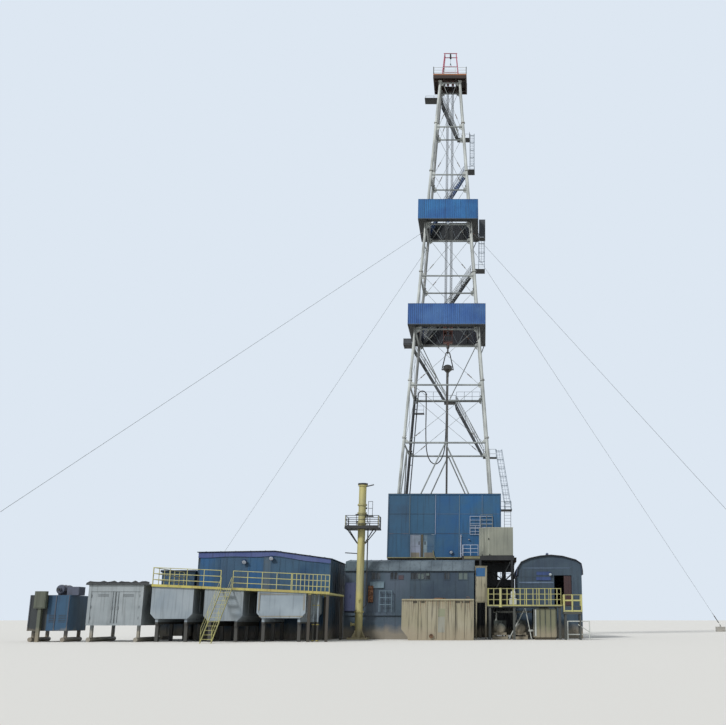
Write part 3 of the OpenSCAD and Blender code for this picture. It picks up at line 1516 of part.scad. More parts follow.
// Turned silencer lying along the engine box's roof, on two saddles
module engine_silencer() {
    r = silencer_d / 2;
    x = engine_lo[0] + 1000;
    z = engine_hi[2] + 40 + r;
    y0 = engine_lo[1] + 200;
    translate([x, y0, z])
        rotate([-90, 0, 0])
            rotate_extrude($fn = 48)
                polygon([[0, -60], [60, -60], [60, 0], [r - 30, 0], [r, 40], [r, silencer_l - 40],
                    [r - 30, silencer_l], [60, silencer_l], [60, silencer_l + 120], [0, silencer_l + 120]]);
    for (t = [0.2, 0.8])
        block([x - r * 0.8, y0 + silencer_l * t - 20, engine_hi[2] + seat],
            [x + r * 0.8, y0 + silencer_l * t + 20, z - r * 0.5]);
}

// Control box on its post, in front of the engine box
module control_box() {
    x = engine_lo[0] + 460;
    y = engine_lo[1] - 110;
    block([x - 210, y - 110, 1195], [x + 210, y + 80, 1815]);
    block([x - 180, y - 122, 1230], [x + 180, y - 109, 1780]);
    block([x - 60, y - 60, 0], [x + 60, y + 60, 1196]);
}

// Guy lines and anchors

// Each guy line: the leg it holds and the place of its anchor
guys = [[fl, [-anchor_x, -anchor_y]], [rr, [anchor_x, anchor_y]], [rl, [-anchor_x, 15800]],
    [fr, [13750, -16000]]];
anchor_eye_h = 90;
anchor_post_d = 50;
turnbuckle_d = 60;

module guy_lines() {
    color("gray")
        for (g = guys) {
            a = leg_at(g[0], guy_z);
            b = [g[1][0], g[1][1], anchor_h + anchor_eye_h];
            u = unit(b - a);
            c = abs(u * leg_axis(g[0]));
            cut = (leg_d / 2 + seat + guy_d / 2 * c) / sqrt(1 - c * c);
            eye_cut = (anchor_post_d / 2 + seat + guy_d / 2 * abs(u[2])) / norm([u[0], u[1]]);
            bar(a + u * cut, b - u * eye_cut, guy_d);
            bar(b - u * (eye_cut + 900), b - u * (eye_cut + 300), turnbuckle_d);
        }
}

module guy_anchors() {
    color("gray")
        for (g = guys)
            translate([g[1][0], g[1][1], 0]) {
                block([-anchor_w / 2, -anchor_w / 2, 0], [anchor_w / 2, anchor_w / 2, anchor_h]);
                cylinder(h = anchor_h + anchor_eye_h + 40, d = anchor_post_d, $fn = 32);
            }
}

leg(fl);  // leg_front_left
leg(fr);  // leg_front_right
leg(rl);  // leg_rear_left
leg(rr);  // leg_rear_right
portal_braces();
face_lattice(fl, fr);  // lattice_front
rear_lattice();  // lattice_rear
face_lattice(fl, rl);  // lattice_left
face_lattice(fr, rr);  // lattice_right
board_ring(lower_board_z, lower_board_x, lower_board_y);  // lower_board
wind_guard(lower_board_z, lower_board_x, lower_board_y);  // lower_wind_guard
board_ring(upper_board_z, upper_board_x, upper_board_y);  // upper_board
wind_guard(upper_board_z, upper_board_x, upper_board_y);  // upper_wind_guard
crown_deck();
crown_railing();
crown_block();
crown_sheaves();
crown_gantry();
rear_walkway();
stair_flight_1();
stair_flight_2();
stair_flight_3();
stair_flight_4();
stair_flight_5();
stair_landings();
derrick_ladders();
standpipe();
travelling_block();
block_sheaves();
hook_and_bail();
swivel();
kelly();
hoisting_lines();
rotary_hose();
drill_floor();
rotary_table();
substructure();
wind_walls();
front_door_left();
front_door_right();
door_hinges();
floor_stair();
balcony();
control_cabin();
pump_house();
pump_house_roof();
shelter();
shelter_roof();
right_platform();
right_platform_units();
water_tank();
switch_cabinet();
shaker_house();
mud_tanks();
tank_deck();
tank_stair();
separator_column();
left_units();
guy_lines();
guy_anchors();
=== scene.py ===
"""Oil drilling rig at half its real size, in metres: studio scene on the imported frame."""

import math

import bpy
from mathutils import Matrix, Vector


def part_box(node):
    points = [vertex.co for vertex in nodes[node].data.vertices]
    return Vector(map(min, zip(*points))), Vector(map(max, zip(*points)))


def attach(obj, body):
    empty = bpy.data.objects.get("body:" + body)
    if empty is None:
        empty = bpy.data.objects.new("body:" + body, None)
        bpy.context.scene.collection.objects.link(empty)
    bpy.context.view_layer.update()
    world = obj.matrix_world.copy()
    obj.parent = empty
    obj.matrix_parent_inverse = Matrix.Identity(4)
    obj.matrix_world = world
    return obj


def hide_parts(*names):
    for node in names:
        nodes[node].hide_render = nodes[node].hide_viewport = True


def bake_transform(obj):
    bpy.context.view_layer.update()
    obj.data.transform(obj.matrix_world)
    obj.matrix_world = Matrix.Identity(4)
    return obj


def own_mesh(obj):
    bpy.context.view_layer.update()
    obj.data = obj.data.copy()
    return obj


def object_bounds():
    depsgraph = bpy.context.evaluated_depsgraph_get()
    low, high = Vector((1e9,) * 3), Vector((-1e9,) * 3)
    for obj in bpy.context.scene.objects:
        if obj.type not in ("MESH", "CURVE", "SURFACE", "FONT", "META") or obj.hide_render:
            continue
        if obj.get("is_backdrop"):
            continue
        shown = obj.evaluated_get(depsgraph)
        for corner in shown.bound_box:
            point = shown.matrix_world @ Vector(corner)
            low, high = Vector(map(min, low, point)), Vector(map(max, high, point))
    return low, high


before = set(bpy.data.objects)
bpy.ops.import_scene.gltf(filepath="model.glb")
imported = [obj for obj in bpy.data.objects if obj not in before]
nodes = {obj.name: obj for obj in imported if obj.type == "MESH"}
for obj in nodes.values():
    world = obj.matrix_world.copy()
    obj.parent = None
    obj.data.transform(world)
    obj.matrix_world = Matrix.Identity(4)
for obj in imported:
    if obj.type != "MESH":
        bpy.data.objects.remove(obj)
cad_low, cad_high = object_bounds()
scene = bpy.context.scene
scene.view_settings.view_transform = "Standard"


# Camera
# The rig is seen from eye height on the open ground in front of it, a little right of the
# derrick, looking up. The picture's sight line lies right of its middle, which the shift gives.
picture_width = 726
sight_line_offset = 120
camera_data = bpy.data.cameras.new("eye_height_camera")
camera_data.lens = 48.4
camera_data.sensor_width = 36
camera_data.shift_x = -sight_line_offset / picture_width
camera = bpy.data.objects.new("eye_height_camera", camera_data)
camera.location = (1.865, -49.9, 0.8)
camera.rotation_euler = (math.radians(90 + 14.75), 0, 0)
camera_data.clip_end = 2000
scene.collection.objects.link(camera)
scene.camera = camera


# Studio floor and light
# A plain pale floor that runs to the horizon, painted matt so that it throws no glare back. One
# soft sun stands high on the front left, and an even pale sky fills the shadows.
def linear(hex_colour):
    """An sRGB hex colour as the linear red, green, blue and alpha that Blender works with."""
    parts = [int(hex_colour[i:i + 2], 16) / 255 for i in (1, 3, 5)]
    return [c / 12.92 if c <= 0.04045 else ((c + 0.055) / 1.055) ** 2.4 for c in parts] + [1.0]


def add_node(tree, kind, settings=None, **links):
    """A node with its settings, and a link or a constant for each named input."""
    node = tree.nodes.new(kind)
    for name, value in (settings or {}).items():
        setattr(node, name, value)
    for name, value in links.items():
        key = int(name[1:]) if name[0] == "i" and name[1:].isdigit() else name.replace("_", " ")
        if isinstance(value, bpy.types.NodeSocket):
            tree.links.new(value, node.inputs[key])
        else:
            node.inputs[key].default_value = value
    return node


def empty_material(name):
    """A material with an empty node tree, and its output node."""
    material = bpy.data.materials.new(name)
    material.use_nodes = True
    material.node_tree.nodes.clear()
    return material, add_node(material.node_tree, "ShaderNodeOutputMaterial")


def mesh_object(name, shape, material):
    """A mesh object from a shape, which is a list of points and a list of faces."""
    points, faces = shape
    mesh = bpy.data.meshes.new(name)
    mesh.from_pydata([tuple(p) for p in points], [], [list(f) for f in faces])
    mesh.materials.append(material)
    mesh.validate()
    made = bpy.data.objects.new(name, mesh)
    scene.collection.objects.link(made)
    return made


floor_paint, output = empty_material("studio_floor_matt_paint")
# Matt emulsion, rolled on: an even pale tone without a highlight.
tree = floor_paint.node_tree
surface = add_node(tree, "ShaderNodeBsdfPrincipled", Base_Color=linear("#d9d6cf"), Roughness=0.9)
tree.links.new(surface.outputs["BSDF"], output.inputs["Surface"])
floor_reach = 900
floor_level = -0.004
floor_corners = [(s * floor_reach, t * floor_reach, floor_level)
    for s, t in ((-1, -1), (1, -1), (1, 1), (-1, 1))]
mesh_object("studio_floor", (floor_corners, [(0, 1, 2, 3)]), floor_paint)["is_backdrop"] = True

world = bpy.data.worlds.new("pale_studio")
scene.world = world
world.use_nodes = True
world.node_tree.nodes.clear()
sky_light = add_node(world.node_tree, "ShaderNodeBackground", Color=linear("#e9eff6"), Strength=0.62)
sky_seen = add_node(world.node_tree, "ShaderNodeBackground", Color=linear("#dde7f2"), Strength=1.0)
ray = add_node(world.node_tree, "ShaderNodeLightPath")
seen = add_node(world.node_tree, "ShaderNodeMath", {"operation": "MAXIMUM"},
    i0=ray.outputs["Is Camera Ray"], i1=ray.outputs["Is Glossy Ray"])
sky = add_node(world.node_tree, "ShaderNodeMixShader", Fac=seen.outputs[0], i1=sky_light.outputs[0],
    i2=sky_seen.outputs[0])
add_node(world.node_tree, "ShaderNodeOutputWorld", Surface=sky.outputs[0])

sun_data = bpy.data.lights.new("soft_sun", "SUN")
sun_data.energy = 2.6
sun_data.angle = math.radians(9)
sun = bpy.data.objects.new("soft_sun", sun_data)
sun.rotation_euler = (math.radians(52), 0, math.radians(-38))
scene.collection.objects.link(sun)


# Rotary hose
# Wire-reinforced rubber hose that carries mud from the gooseneck of the standpipe to the swivel.
# It hangs in one deep loop and has a steel coupling crimped on each end.
def joined(shapes):
    """Several shapes as one."""
    points, faces = [], []
    for more_points, more_faces in shapes:
        base = len(points)
        points += list(more_points)
        faces += [[i + base for i in face] for face in more_faces]
    return points, faces


def tube(path, diameter, sides=8):
    """A round tube along a list of points, closed at both ends. The diameter may be one per point."""
    path = [Vector(p) for p in path]
    last = len(path) - 1
    points, side = [], None
    for i, p in enumerate(path):
        along = (path[min(i + 1, last)] - path[max(i - 1, 0)]).normalized()
        if side is None:
            side = along.orthogonal().normalized()
        side = (side - along * side.dot(along)).normalized()
        up = along.cross(side)
        radius = (diameter[i] if isinstance(diameter, (list, tuple)) else diameter) / 2
        for k in range(sides):
            turn = 2 * math.pi * k / sides
            points.append(p + (side * math.cos(turn) + up * math.sin(turn)) * radius)
    faces = []
    for i in range(last):
        near, far = i * sides, (i + 1) * sides
        faces += [(near + k, near + (k + 1) % sides, far + (k + 1) % sides, far + k) for k in range(sides)]
    faces.append(list(range(sides - 1, -1, -1)))
    faces.append([last * sides + k for k in range(sides)])
    return points, faces


def smooth_route(route, steps):
    """The curve through a route's points, with steps points between each two."""
    last = len(route) - 1
    curve = []
    for i in range(last):
        a, b, c, d = (Vector(route[j]) for j in (max(i - 1, 0), i, i + 1, min(i + 2, last)))
        for k in range(steps):
            t = k / steps
            curve.append(0.5 * (2 * b + (c - a) * t + (2 * a - 5 * b + 4 * c - d) * t * t
                + (3 * b - a - 3 * c + d) * t * t * t))
    return curve + [Vector(route[last])]


def round_shading(piece):
    """Shades a piece as the round form that its facets stand for."""
    piece.data.polygons.foreach_set("use_smooth", [True] * len(piece.data.polygons))


def place(piece, body="root", smooth=False):
    """Sets a piece on its body."""
    if smooth:
        round_shading(piece)
    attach(piece, body)
    return piece


def rock(tree, scale, detail=4.0, stretch=(1, 1, 1), kind="ShaderNodeTexNoise"):
    """Value of a noise in metres: scale is in cycles per metre, stretch widens it along each axis."""
    where = add_node(tree, "ShaderNodeTexCoord")
    turned_to = add_node(tree, "ShaderNodeMapping", Vector=where.outputs["Object"],
        Scale=[1 / s for s in stretch])
    made = add_node(tree, kind, Vector=turned_to.outputs[0], Scale=scale, Detail=detail)
    return made.outputs["Fac"]


def step(tree, value, low, high, low_colour=(0, 0, 0, 1), high_colour=(1, 1, 1, 1)):
    """A value turned to a colour between a low and a high point."""
    ramp = add_node(tree, "ShaderNodeValToRGB", Fac=value)
    ramp.color_ramp.elements[0].position = low
    ramp.color_ramp.elements[0].color = low_colour
    ramp.color_ramp.elements[1].position = high
    ramp.color_ramp.elements[1].color = high_colour
    return ramp.outputs["Color"]


def blended(tree, share, first, second, how="MIX"):
    """Two colours mixed by a share."""
    mix = add_node(tree, "ShaderNodeMix", {"data_type": "RGBA", "blend_type": how}, Factor=share)
    for socket, value in zip([s for s in mix.inputs if s.type == "RGBA"], (first, second)):
        if isinstance(value, bpy.types.NodeSocket):
            tree.links.new(value, socket)
        else:
            socket.default_value = value
    return [s for s in mix.outputs if s.type == "RGBA"][0]


hose_diameter = 0.056
hose_route = [
    (-1.200, 1.640, 12.549), (-1.200, 1.632, 12.250), (-1.198, 1.600, 11.850), (-1.195, 1.540, 11.300),
    (-1.190, 1.450, 10.600), (-1.165, 1.330, 9.950), (-1.110, 1.180, 9.420), (-1.000, 1.000, 9.020),
    (-0.830, 0.820, 8.750), (-0.620, 0.650, 8.640), (-0.420, 0.520, 8.720), (-0.260, 0.430, 8.960),
    (-0.150, 0.375, 9.330), (-0.095, 0.348, 9.900), (-0.070, 0.337, 10.700), (-0.062, 0.331, 11.600),
    (-0.060, 0.330, 12.400), (-0.060, 0.330, 13.100), (-0.060, 0.330, 13.649)]
hose_rubber, output = empty_material("wire_reinforced_rubber")
# Black cover rubber, matt and dusted, with the faint winding of the wrap it was cured in.
tree = hose_rubber.node_tree
dust = step(tree, rock(tree, 3.0), 0.45, 0.75, linear("#2b2c2d"), linear("#55524c"))
wrap = add_node(tree, "ShaderNodeBump", Strength=0.5, Distance=0.003, Height=rock(tree, 60, 2.0))
surface = add_node(tree, "ShaderNodeBsdfPrincipled", Base_Color=dust, Roughness=0.82,
    Normal=wrap.outputs["Normal"])
tree.links.new(surface.outputs["BSDF"], output.inputs["Surface"])
hose_path = smooth_route(hose_route, 8)
hose = mesh_object("rotary_hose_rubber", tube(hose_path, hose_diameter, 16), hose_rubber)
round_shading(hose)
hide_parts("rotary_hose")
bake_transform(hose)


# Hoisting lines
# Twelve falls of greased galvanised wire rope between the crown sheaves and the block's sheaves,
# six strands to a rope. They go half round each sheave.
sheave_places = [side * (0.092 + i * 0.048) for side in (-1, 1) for i in range(3)]
rope_diameter = 0.014
fall_offset = 0.234
crown_axle = 30.55
block_axle = 15.70
wire_rope, output = empty_material("greased_galvanised_wire_rope")
# Grey zinc wires, dull with grease, with the slanting lay of the strands.
tree = wire_rope.node_tree
grease = step(tree, rock(tree, 5.0), 0.4, 0.7, linear("#6f7274"), linear("#4b4a46"))
lay = add_node(tree, "ShaderNodeTexWave", {"bands_direction": "DIAGONAL"}, Scale=25.0,
    Vector=add_node(tree, "ShaderNodeTexCoord").outputs["Object"])
strands = add_node(tree, "ShaderNodeBump", Strength=0.6, Distance=0.003, Height=lay.outputs["Fac"])
surface = add_node(tree, "ShaderNodeBsdfPrincipled", Base_Color=grease, Roughness=0.5, Metallic=0.7,
    Normal=strands.outputs["Normal"])
tree.links.new(surface.outputs["BSDF"], output.inputs["Surface"])
falls = mesh_object("hoisting_rope_falls", joined(
    [tube([(x, y, block_axle), (x, y, crown_axle)], rope_diameter, 10)
     for x in sheave_places for y in (-fall_offset, fall_offset)]), wire_rope)
place(falls, smooth=True)
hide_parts("hoisting_lines")
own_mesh(falls)
for axle, turn, body, label in ((crown_axle, 1, "root", "crown"), (block_axle, -1, "block", "block")):
    arcs = [tube([(x, fall_offset * math.cos(a), axle + turn * fall_offset * math.sin(a))
                  for a in (math.pi * k / 16 for k in range(17))], rope_diameter, 8) for x in sheave_places]
    place(mesh_object(f"rope_turns_{label}", joined(arcs), wire_rope), body, smooth=True)


# Paint on steel
# Everything from the legs to the tanks is rolled steel in alkyd enamel, brushed on over primer and
# touched up on site. Sun, mud and rain have chalked it in patches, streaked it below the edges and
# rusted it through in spots. Each section mixes its own colours of it.
def banded(tree, bands):
    """Colours in upright bands along X: each band's start and its colour."""
    across = add_node(tree, "ShaderNodeSeparateXYZ",
        Vector=add_node(tree, "ShaderNodeTexCoord").outputs["Object"])
    first, last = bands[0][0], bands[-1][0] + 0.5
    share = add_node(tree, "ShaderNodeMapRange", Value=across.outputs["X"], From_Min=first, From_Max=last)
    made = add_node(tree, "ShaderNodeValToRGB", Fac=share.outputs[0])
    ramp = made.color_ramp
    ramp.interpolation = "CONSTANT"
    ramp.elements.remove(ramp.elements[1])
    ramp.elements[0].color = linear(bands[0][1])
    for start, hex_colour in bands[1:]:
        ramp.elements.new((start - first) / (last - first)).color = linear(hex_colour)
    return made.outputs["Color"]


def painted_steel(name, paint, faded, rust="#6a4128", rust_share=0.12, roughness=0.55, runs=0.35,
                  splash=0.0, dents=0.0, below=None, inside=None):
    """Alkyd enamel on steel: faded in patches, run with rain streaks, rusted through in spots."""
    # On the model the faded patches are 0.9 m wide, the rain streaks 90 mm wide and 1.6 m long, and
    # the rust spots 75 mm, in clusters of 1.1 m. Real rust spots of 10 to 30 mm are too fine to show,
    # so they are drawn that coarse. The sheet's dents are 0.45 m apart, the brushed unevenness 90 mm.
    material, output = empty_material(name)
    tree = material.node_tree
    patches = step(tree, rock(tree, 1.1, 5.0), 0.38, 0.66)
    fresh, old, lower = [linear(value) if isinstance(value, str) else banded(tree, value) for value in
        (paint, faded, below[1] if below else faded)]
    colour = blended(tree, patches, fresh, old)
    if below:
        height = add_node(tree, "ShaderNodeSeparateXYZ",
            Vector=add_node(tree, "ShaderNodeTexCoord").outputs["Object"])
        under = add_node(tree, "ShaderNodeMapRange", Value=height.outputs["Z"], From_Min=below[0] - 0.02,
            From_Max=below[0], To_Min=1.0, To_Max=0.0)
        colour = blended(tree, under.outputs[0], colour, lower)
    # Painted shade: faces turned back towards the derrick's middle take the inside colour, for the shade inside
    # hollow forms such as the guards.
    if inside:
        here = add_node(tree, "ShaderNodeNewGeometry")
        outward = add_node(tree, "ShaderNodeVectorMath", {"operation": "DOT_PRODUCT"},
            i0=here.outputs["True Normal"], i1=here.outputs["Position"])
        inner = step(tree, outward.outputs["Value"], 0.0, 0.02, (1, 1, 1, 1), (0, 0, 0, 1))
        colour = blended(tree, inner, colour, linear(inside))
    streaks = step(tree, rock(tree, 1.0, 3.0, (0.09, 0.09, 1.6)), 0.52, 0.74)
    strength = add_node(tree, "ShaderNodeMath", {"operation": "MULTIPLY"}, i0=streaks, i1=runs)
    colour = blended(tree, strength.outputs[0], colour, linear("#4d463c"), "MULTIPLY")
    clusters = add_node(tree, "ShaderNodeMath", {"operation": "MULTIPLY_ADD"}, i0=rock(tree, 0.9, 3.0), i1=0.9,
        i2=rock(tree, 13.0, 8.0))
    spots = step(tree, clusters.outputs[0], 1.24 - rust_share, 1.29 - rust_share)
    rust_tone = step(tree, rock(tree, 17.0, 4.0), 0.3, 0.7, linear(rust), linear("#3d2a20"))
    colour = blended(tree, spots, colour, rust_tone)
    if splash > 0:
        height = add_node(tree, "ShaderNodeSeparateXYZ",
            Vector=add_node(tree, "ShaderNodeTexCoord").outputs["Object"])
        ragged = add_node(tree, "ShaderNodeMath", {"operation": "MULTIPLY_ADD"}, i0=rock(tree, 2.5), i1=-0.5,
            i2=height.outputs["Z"])
        mud = step(tree, ragged.outputs[0], 0.0, splash, (0.7, 0.7, 0.7, 1), (0, 0, 0, 1))
        colour = blended(tree, mud, colour, linear("#8f8470"))
    uneven = add_node(tree, "ShaderNodeBump", Strength=0.25 + dents, Distance=0.004 + dents * 0.03,
        Height=rock(tree, 2.2 if dents else 11.0, 5.0))
    rough_rust = add_node(tree, "ShaderNodeBump", Strength=0.4, Distance=0.003, Height=spots,
        Normal=uneven.outputs["Normal"])
    worn = add_node(tree, "ShaderNodeMapRange", Value=spots, To_Min=roughness, To_Max=0.9)
    surface = add_node(tree, "ShaderNodeBsdfPrincipled", Base_Color=colour, Roughness=worn.outputs[0],
        Normal=rough_rust.outputs["Normal"])
    tree.links.new(surface.outputs["BSDF"], output.inputs["Surface"])
    return material


def finish(material, *names):
    """Gives CAD nodes a finish."""
    for name in names:
        nodes[name].data.materials.clear()
        nodes[name].data.materials.append(material)


# Derrick legs
# Four legs of thick-walled pipe in flanged lengths, with twelve bolts through each splice and a
# ring of weld on each side of it. Their pale grey enamel is chalky with age, apart from the rear
# left leg, which is a darker grey and turns black below the hose platform.
floor_top = 3.63
leg_top = 30.25
foot_spacing = 4.95
head_spacing = 1.10
first_girt = 9.28
panel_height = 3.0
girt_heights = [first_girt + panel_height * k for k in range(7)]


def leg_offset(height):
    """Distance of a leg's centre line from the middle planes."""
    return foot_spacing / 2 - (foot_spacing - head_spacing) / 2 / (leg_top - floor_top) * (height - floor_top)


def leg_point(side, height):
    """A point on a leg's centre line."""
    return Vector((side[0] * leg_offset(height), side[1] * leg_offset(height), height))


def fit(name, shapes, paint, body="root"):
    """A piece made of several shapes in one paint, set on its body."""
    return place(mesh_object(name, joined(shapes), paint), body)


corners = [(-1, -1), (1, -1), (-1, 1), (1, 1)]
dark_leg_line = 12.5
# The enamel is nearly white where it chalks, with rust that weeps from the splices. The rear left
# leg's grey is darker, and goes to black below a set height. The bolts were painted over, and chipped.
leg_enamel = painted_steel("chalky_grey_enamel", "#b5b9b5", "#949896", rust="#7a5238", rust_share=0.13,
    runs=0.5)
darkened_leg_enamel = painted_steel("leg_enamel_darker_below_a_line", "#8d8f8e", "#6f7272", rust="#5b4334", rust_share=0.15,
    below=(dark_leg_line, "#1e2023"))
finish(leg_enamel, "leg_front_left", "leg_front_right", "leg_rear_right")
finish(darkened_leg_enamel, "leg_rear_left")
bolt_steel = painted_steel("painted_bolts", "#8d8d86", "#6e6d67", rust_share=0.3)
splice_rise = 0.26
splice_bolt_count = 12
bolt_circle_radius = 0.096
bolt_reach = 0.045
bolts, welds = [], []
for side in corners:
    along = (leg_point(side, leg_top) - leg_point(side, floor_top)).normalized()
    across = along.orthogonal().normalized()
    for height in girt_heights:
        middle = leg_point(side, height + splice_rise)
        for k in range(splice_bolt_count):
            turn = 2 * math.pi * k / splice_bolt_count
            out = (across * math.cos(turn) + along.cross(across) * math.sin(turn)) * bolt_circle_radius
            bolts.append(tube([middle + out - along * bolt_reach, middle + out + along * bolt_reach], 0.024, 6))
        for way in (-1, 1):
            welds.append(tube([middle + along * way * 0.024, middle + along * way * 0.04], [0.168, 0.15], 24))
fit("splice_bolts", bolts, bolt_steel)
fit("splice_welds", welds, leg_enamel)


# Lattice
# Girts of pipe with a gusset welded on at each end, and crossed tie rods drawn tight by
# turnbuckles. On the rear face the panel under the lower board has a V of stiff struts instead.

# The paint went on thin over old rust, so the rods look darker and duller than the legs.
lattice_paint = painted_steel("thin_grey_paint_over_rust", "#8e9492", "#6c7070", rust_share=0.2, roughness=0.6)
finish(lattice_paint, "portal_braces", "lattice_front", "lattice_rear", "lattice_left", "lattice_right")
gusset_reach = 0.16
rear_face = ((-1, 1), (1, 1))
strut_panel = 1
lattice_faces = [((-1, -1), (1, -1)), rear_face, ((-1, -1), (-1, 1)), ((1, -1), (1, 1))]
levels = girt_heights + [leg_top - 0.13]


def plate(points, thickness):
    """A flat plate: its outline in space, thickened to both sides."""
    points = [Vector(p) for p in points]
    normal = (points[1] - points[0]).cross(points[2] - points[0]).normalized() * thickness / 2
    count = len(points)
    faces = [list(range(count - 1, -1, -1)), list(range(count, 2 * count))]
    faces += [[i, (i + 1) % count, count + (i + 1) % count, count + i] for i in range(count)]
    return [p - normal for p in points] + [p + normal for p in points], faces


turnbuckles, gussets = [], []
up = Vector((0, 0, 1))
for near, far in lattice_faces:
    outward = Vector(((near[0] + far[0]) / 2, (near[1] + far[1]) / 2, 0))
    for k, (low, high) in enumerate(zip(levels, levels[1:])):
        for way, start, end in ((-1, near, far), (1, far, near)):
            run = (leg_point(end, low) - leg_point(start, low)).normalized()
            a = leg_point(start, low) + run * gusset_reach + outward * way * 0.006
            b = leg_point(end, high) - run * gusset_reach + outward * way * 0.006
            along = (b - a).normalized()
            if (near, far) != rear_face or k != strut_panel:
                for reach in (0.55, 0.78):
                    turnbuckles.append(tube([a + along * reach, a + along * (reach + 0.06)], 0.05, 8))
                for side in (-1, 1):
                    beside = along.cross(outward).normalized() * 0.018 * side
                    turnbuckles.append(tube([a + along * 0.56 + beside, a + along * 0.82 + beside], 0.013, 5))
            for corner, height, rise, inward in ((start, low, 1, run), (end, high, -1, -run)):
                tip = leg_point(corner, height) + inward * 0.078
                gussets.append(plate([tip + up * rise * 0.02, tip + inward * 0.17 + up * rise * 0.02,
                    tip + inward * 0.12 + up * rise * 0.13, tip + up * rise * 0.2], 0.012))
fit("tie_rod_turnbuckles", turnbuckles, bolt_steel)
fit("leg_gussets", gussets, leg_enamel)


# Working boards and their wind guards
# Two ring floors of chequered plate round the legs, each behind a guard of ribbed blue sheet that
# keeps the wind off the crew. The sheets hang on posts with V braces, and have chalked in patches.

# The plate is nearly black, and duller where boots have worn it. The two blues are mottled where
# the sun has chalked them, and painted dark on their inner faces as painted shade inside the guards.
board_steel = painted_steel("board_plate", "#1e2224", "#313433", rust_share=0.2, roughness=0.7)
finish(board_steel, "lower_board", "upper_board", "rear_walkway", "stair_landings")
upper_blue = painted_steel("mottled_blue_sheet_paint", "#0f4c86", "#21659a", rust="#6f5648", rust_share=0.1,
    runs=0.45, inside="#10161c")
lower_blue = painted_steel("mottled_violet_blue_sheet_paint", "#234f8b", "#3c6599", rust="#7d5b4c",
    rust_share=0.12, runs=0.45, inside="#191a22")
# The foot rails' pale trim is partly a painted highlight, for the light caught along the guards' lower edge;
# the braces share the pale paint.
trim_and_painted_highlight = painted_steel("pale_guard_trim_paint_and_highlight", "#77828a", "#596268", rust_share=0.16)
guard_depth = 0.02
guard_bays = 4
rib_pitch = 0.1


def ribbed_sheet(a, b, foot, head, depth, pitch, inside):
    """A sheet with upright ribs between two points in plan, its ribs reaching depth inwards."""
    a, b, inside = Vector(a), Vector(b), Vector(inside)
    run = (b - a).normalized()
    count = max(1, round((b - a).length / pitch))
    pitch = (b - a).length / count
    front = []
    for i in range(count):
        for share, reach in ((0.0, 0), (0.4, 0), (0.5, 1), (0.9, 1)):
            front.append(a + run * (i + share) * pitch + inside * reach * (depth - 0.003))
    front.append(b)
    outline = front + [p + inside * 0.003 for p in reversed(front)]
    points = [Vector((p.x, p.y, foot)) for p in outline] + [Vector((p.x, p.y, head)) for p in outline]
    count, last = len(outline), len(front)
    faces = [[i, (i + 1) % count, count + (i + 1) % count, count + i] for i in range(count)]
    for base in (0, count):
        faces += [[base + i, base + i + 1, base + count - 2 - i, base + count - 1 - i] for i in range(last - 1)]
    return points, faces


def block(low, high, edge=0.006):
    """A box from corner to corner with its edges broken."""
    low, high = Vector(low), Vector(high)
    middle, half = (low + high) / 2, (high - low) / 2
    edge = min(edge, min(half) * 0.45)
    signs = [(i, j, k) for i in (-1, 1) for j in (-1, 1) for k in (-1, 1)]
    points, at = [], {}
    for sign in signs:
        for axis in range(3):
            at[sign, axis] = len(points)
            points.append(middle + Vector([sign[n] * (half[n] - (0 if n == axis else edge)) for n in range(3)]))
    faces = [[at[sign, axis] for axis in range(3)] for sign in signs]
    for axis in range(3):
        b, c = (axis + 1) % 3, (axis + 2) % 3
        for s in (-1, 1):
            ring = []
            for t, u in ((-1, -1), (1, -1), (1, 1), (-1, 1)):
                sign = [0, 0, 0]
                sign[axis], sign[b], sign[c] = s, t, u
                ring.append(at[tuple(sign), axis])
            faces.append(ring)
            for t in (-1, 1):
                ring = []
                for u, side in ((-1, axis), (1, axis), (1, b), (-1, b)):
                    sign = [0, 0, 0]
                    sign[axis], sign[b], sign[c] = s, t, u
                    ring.append(at[tuple(sign), side])
                faces.append(ring)
    for face in faces:
        spot = sum((points[i] for i in face), Vector()) / len(face)
        normal = (points[face[1]] - points[face[0]]).cross(points[face[2]] - points[face[1]])
        if normal.dot(spot - middle) < 0:
            face.reverse()
    return points, faces


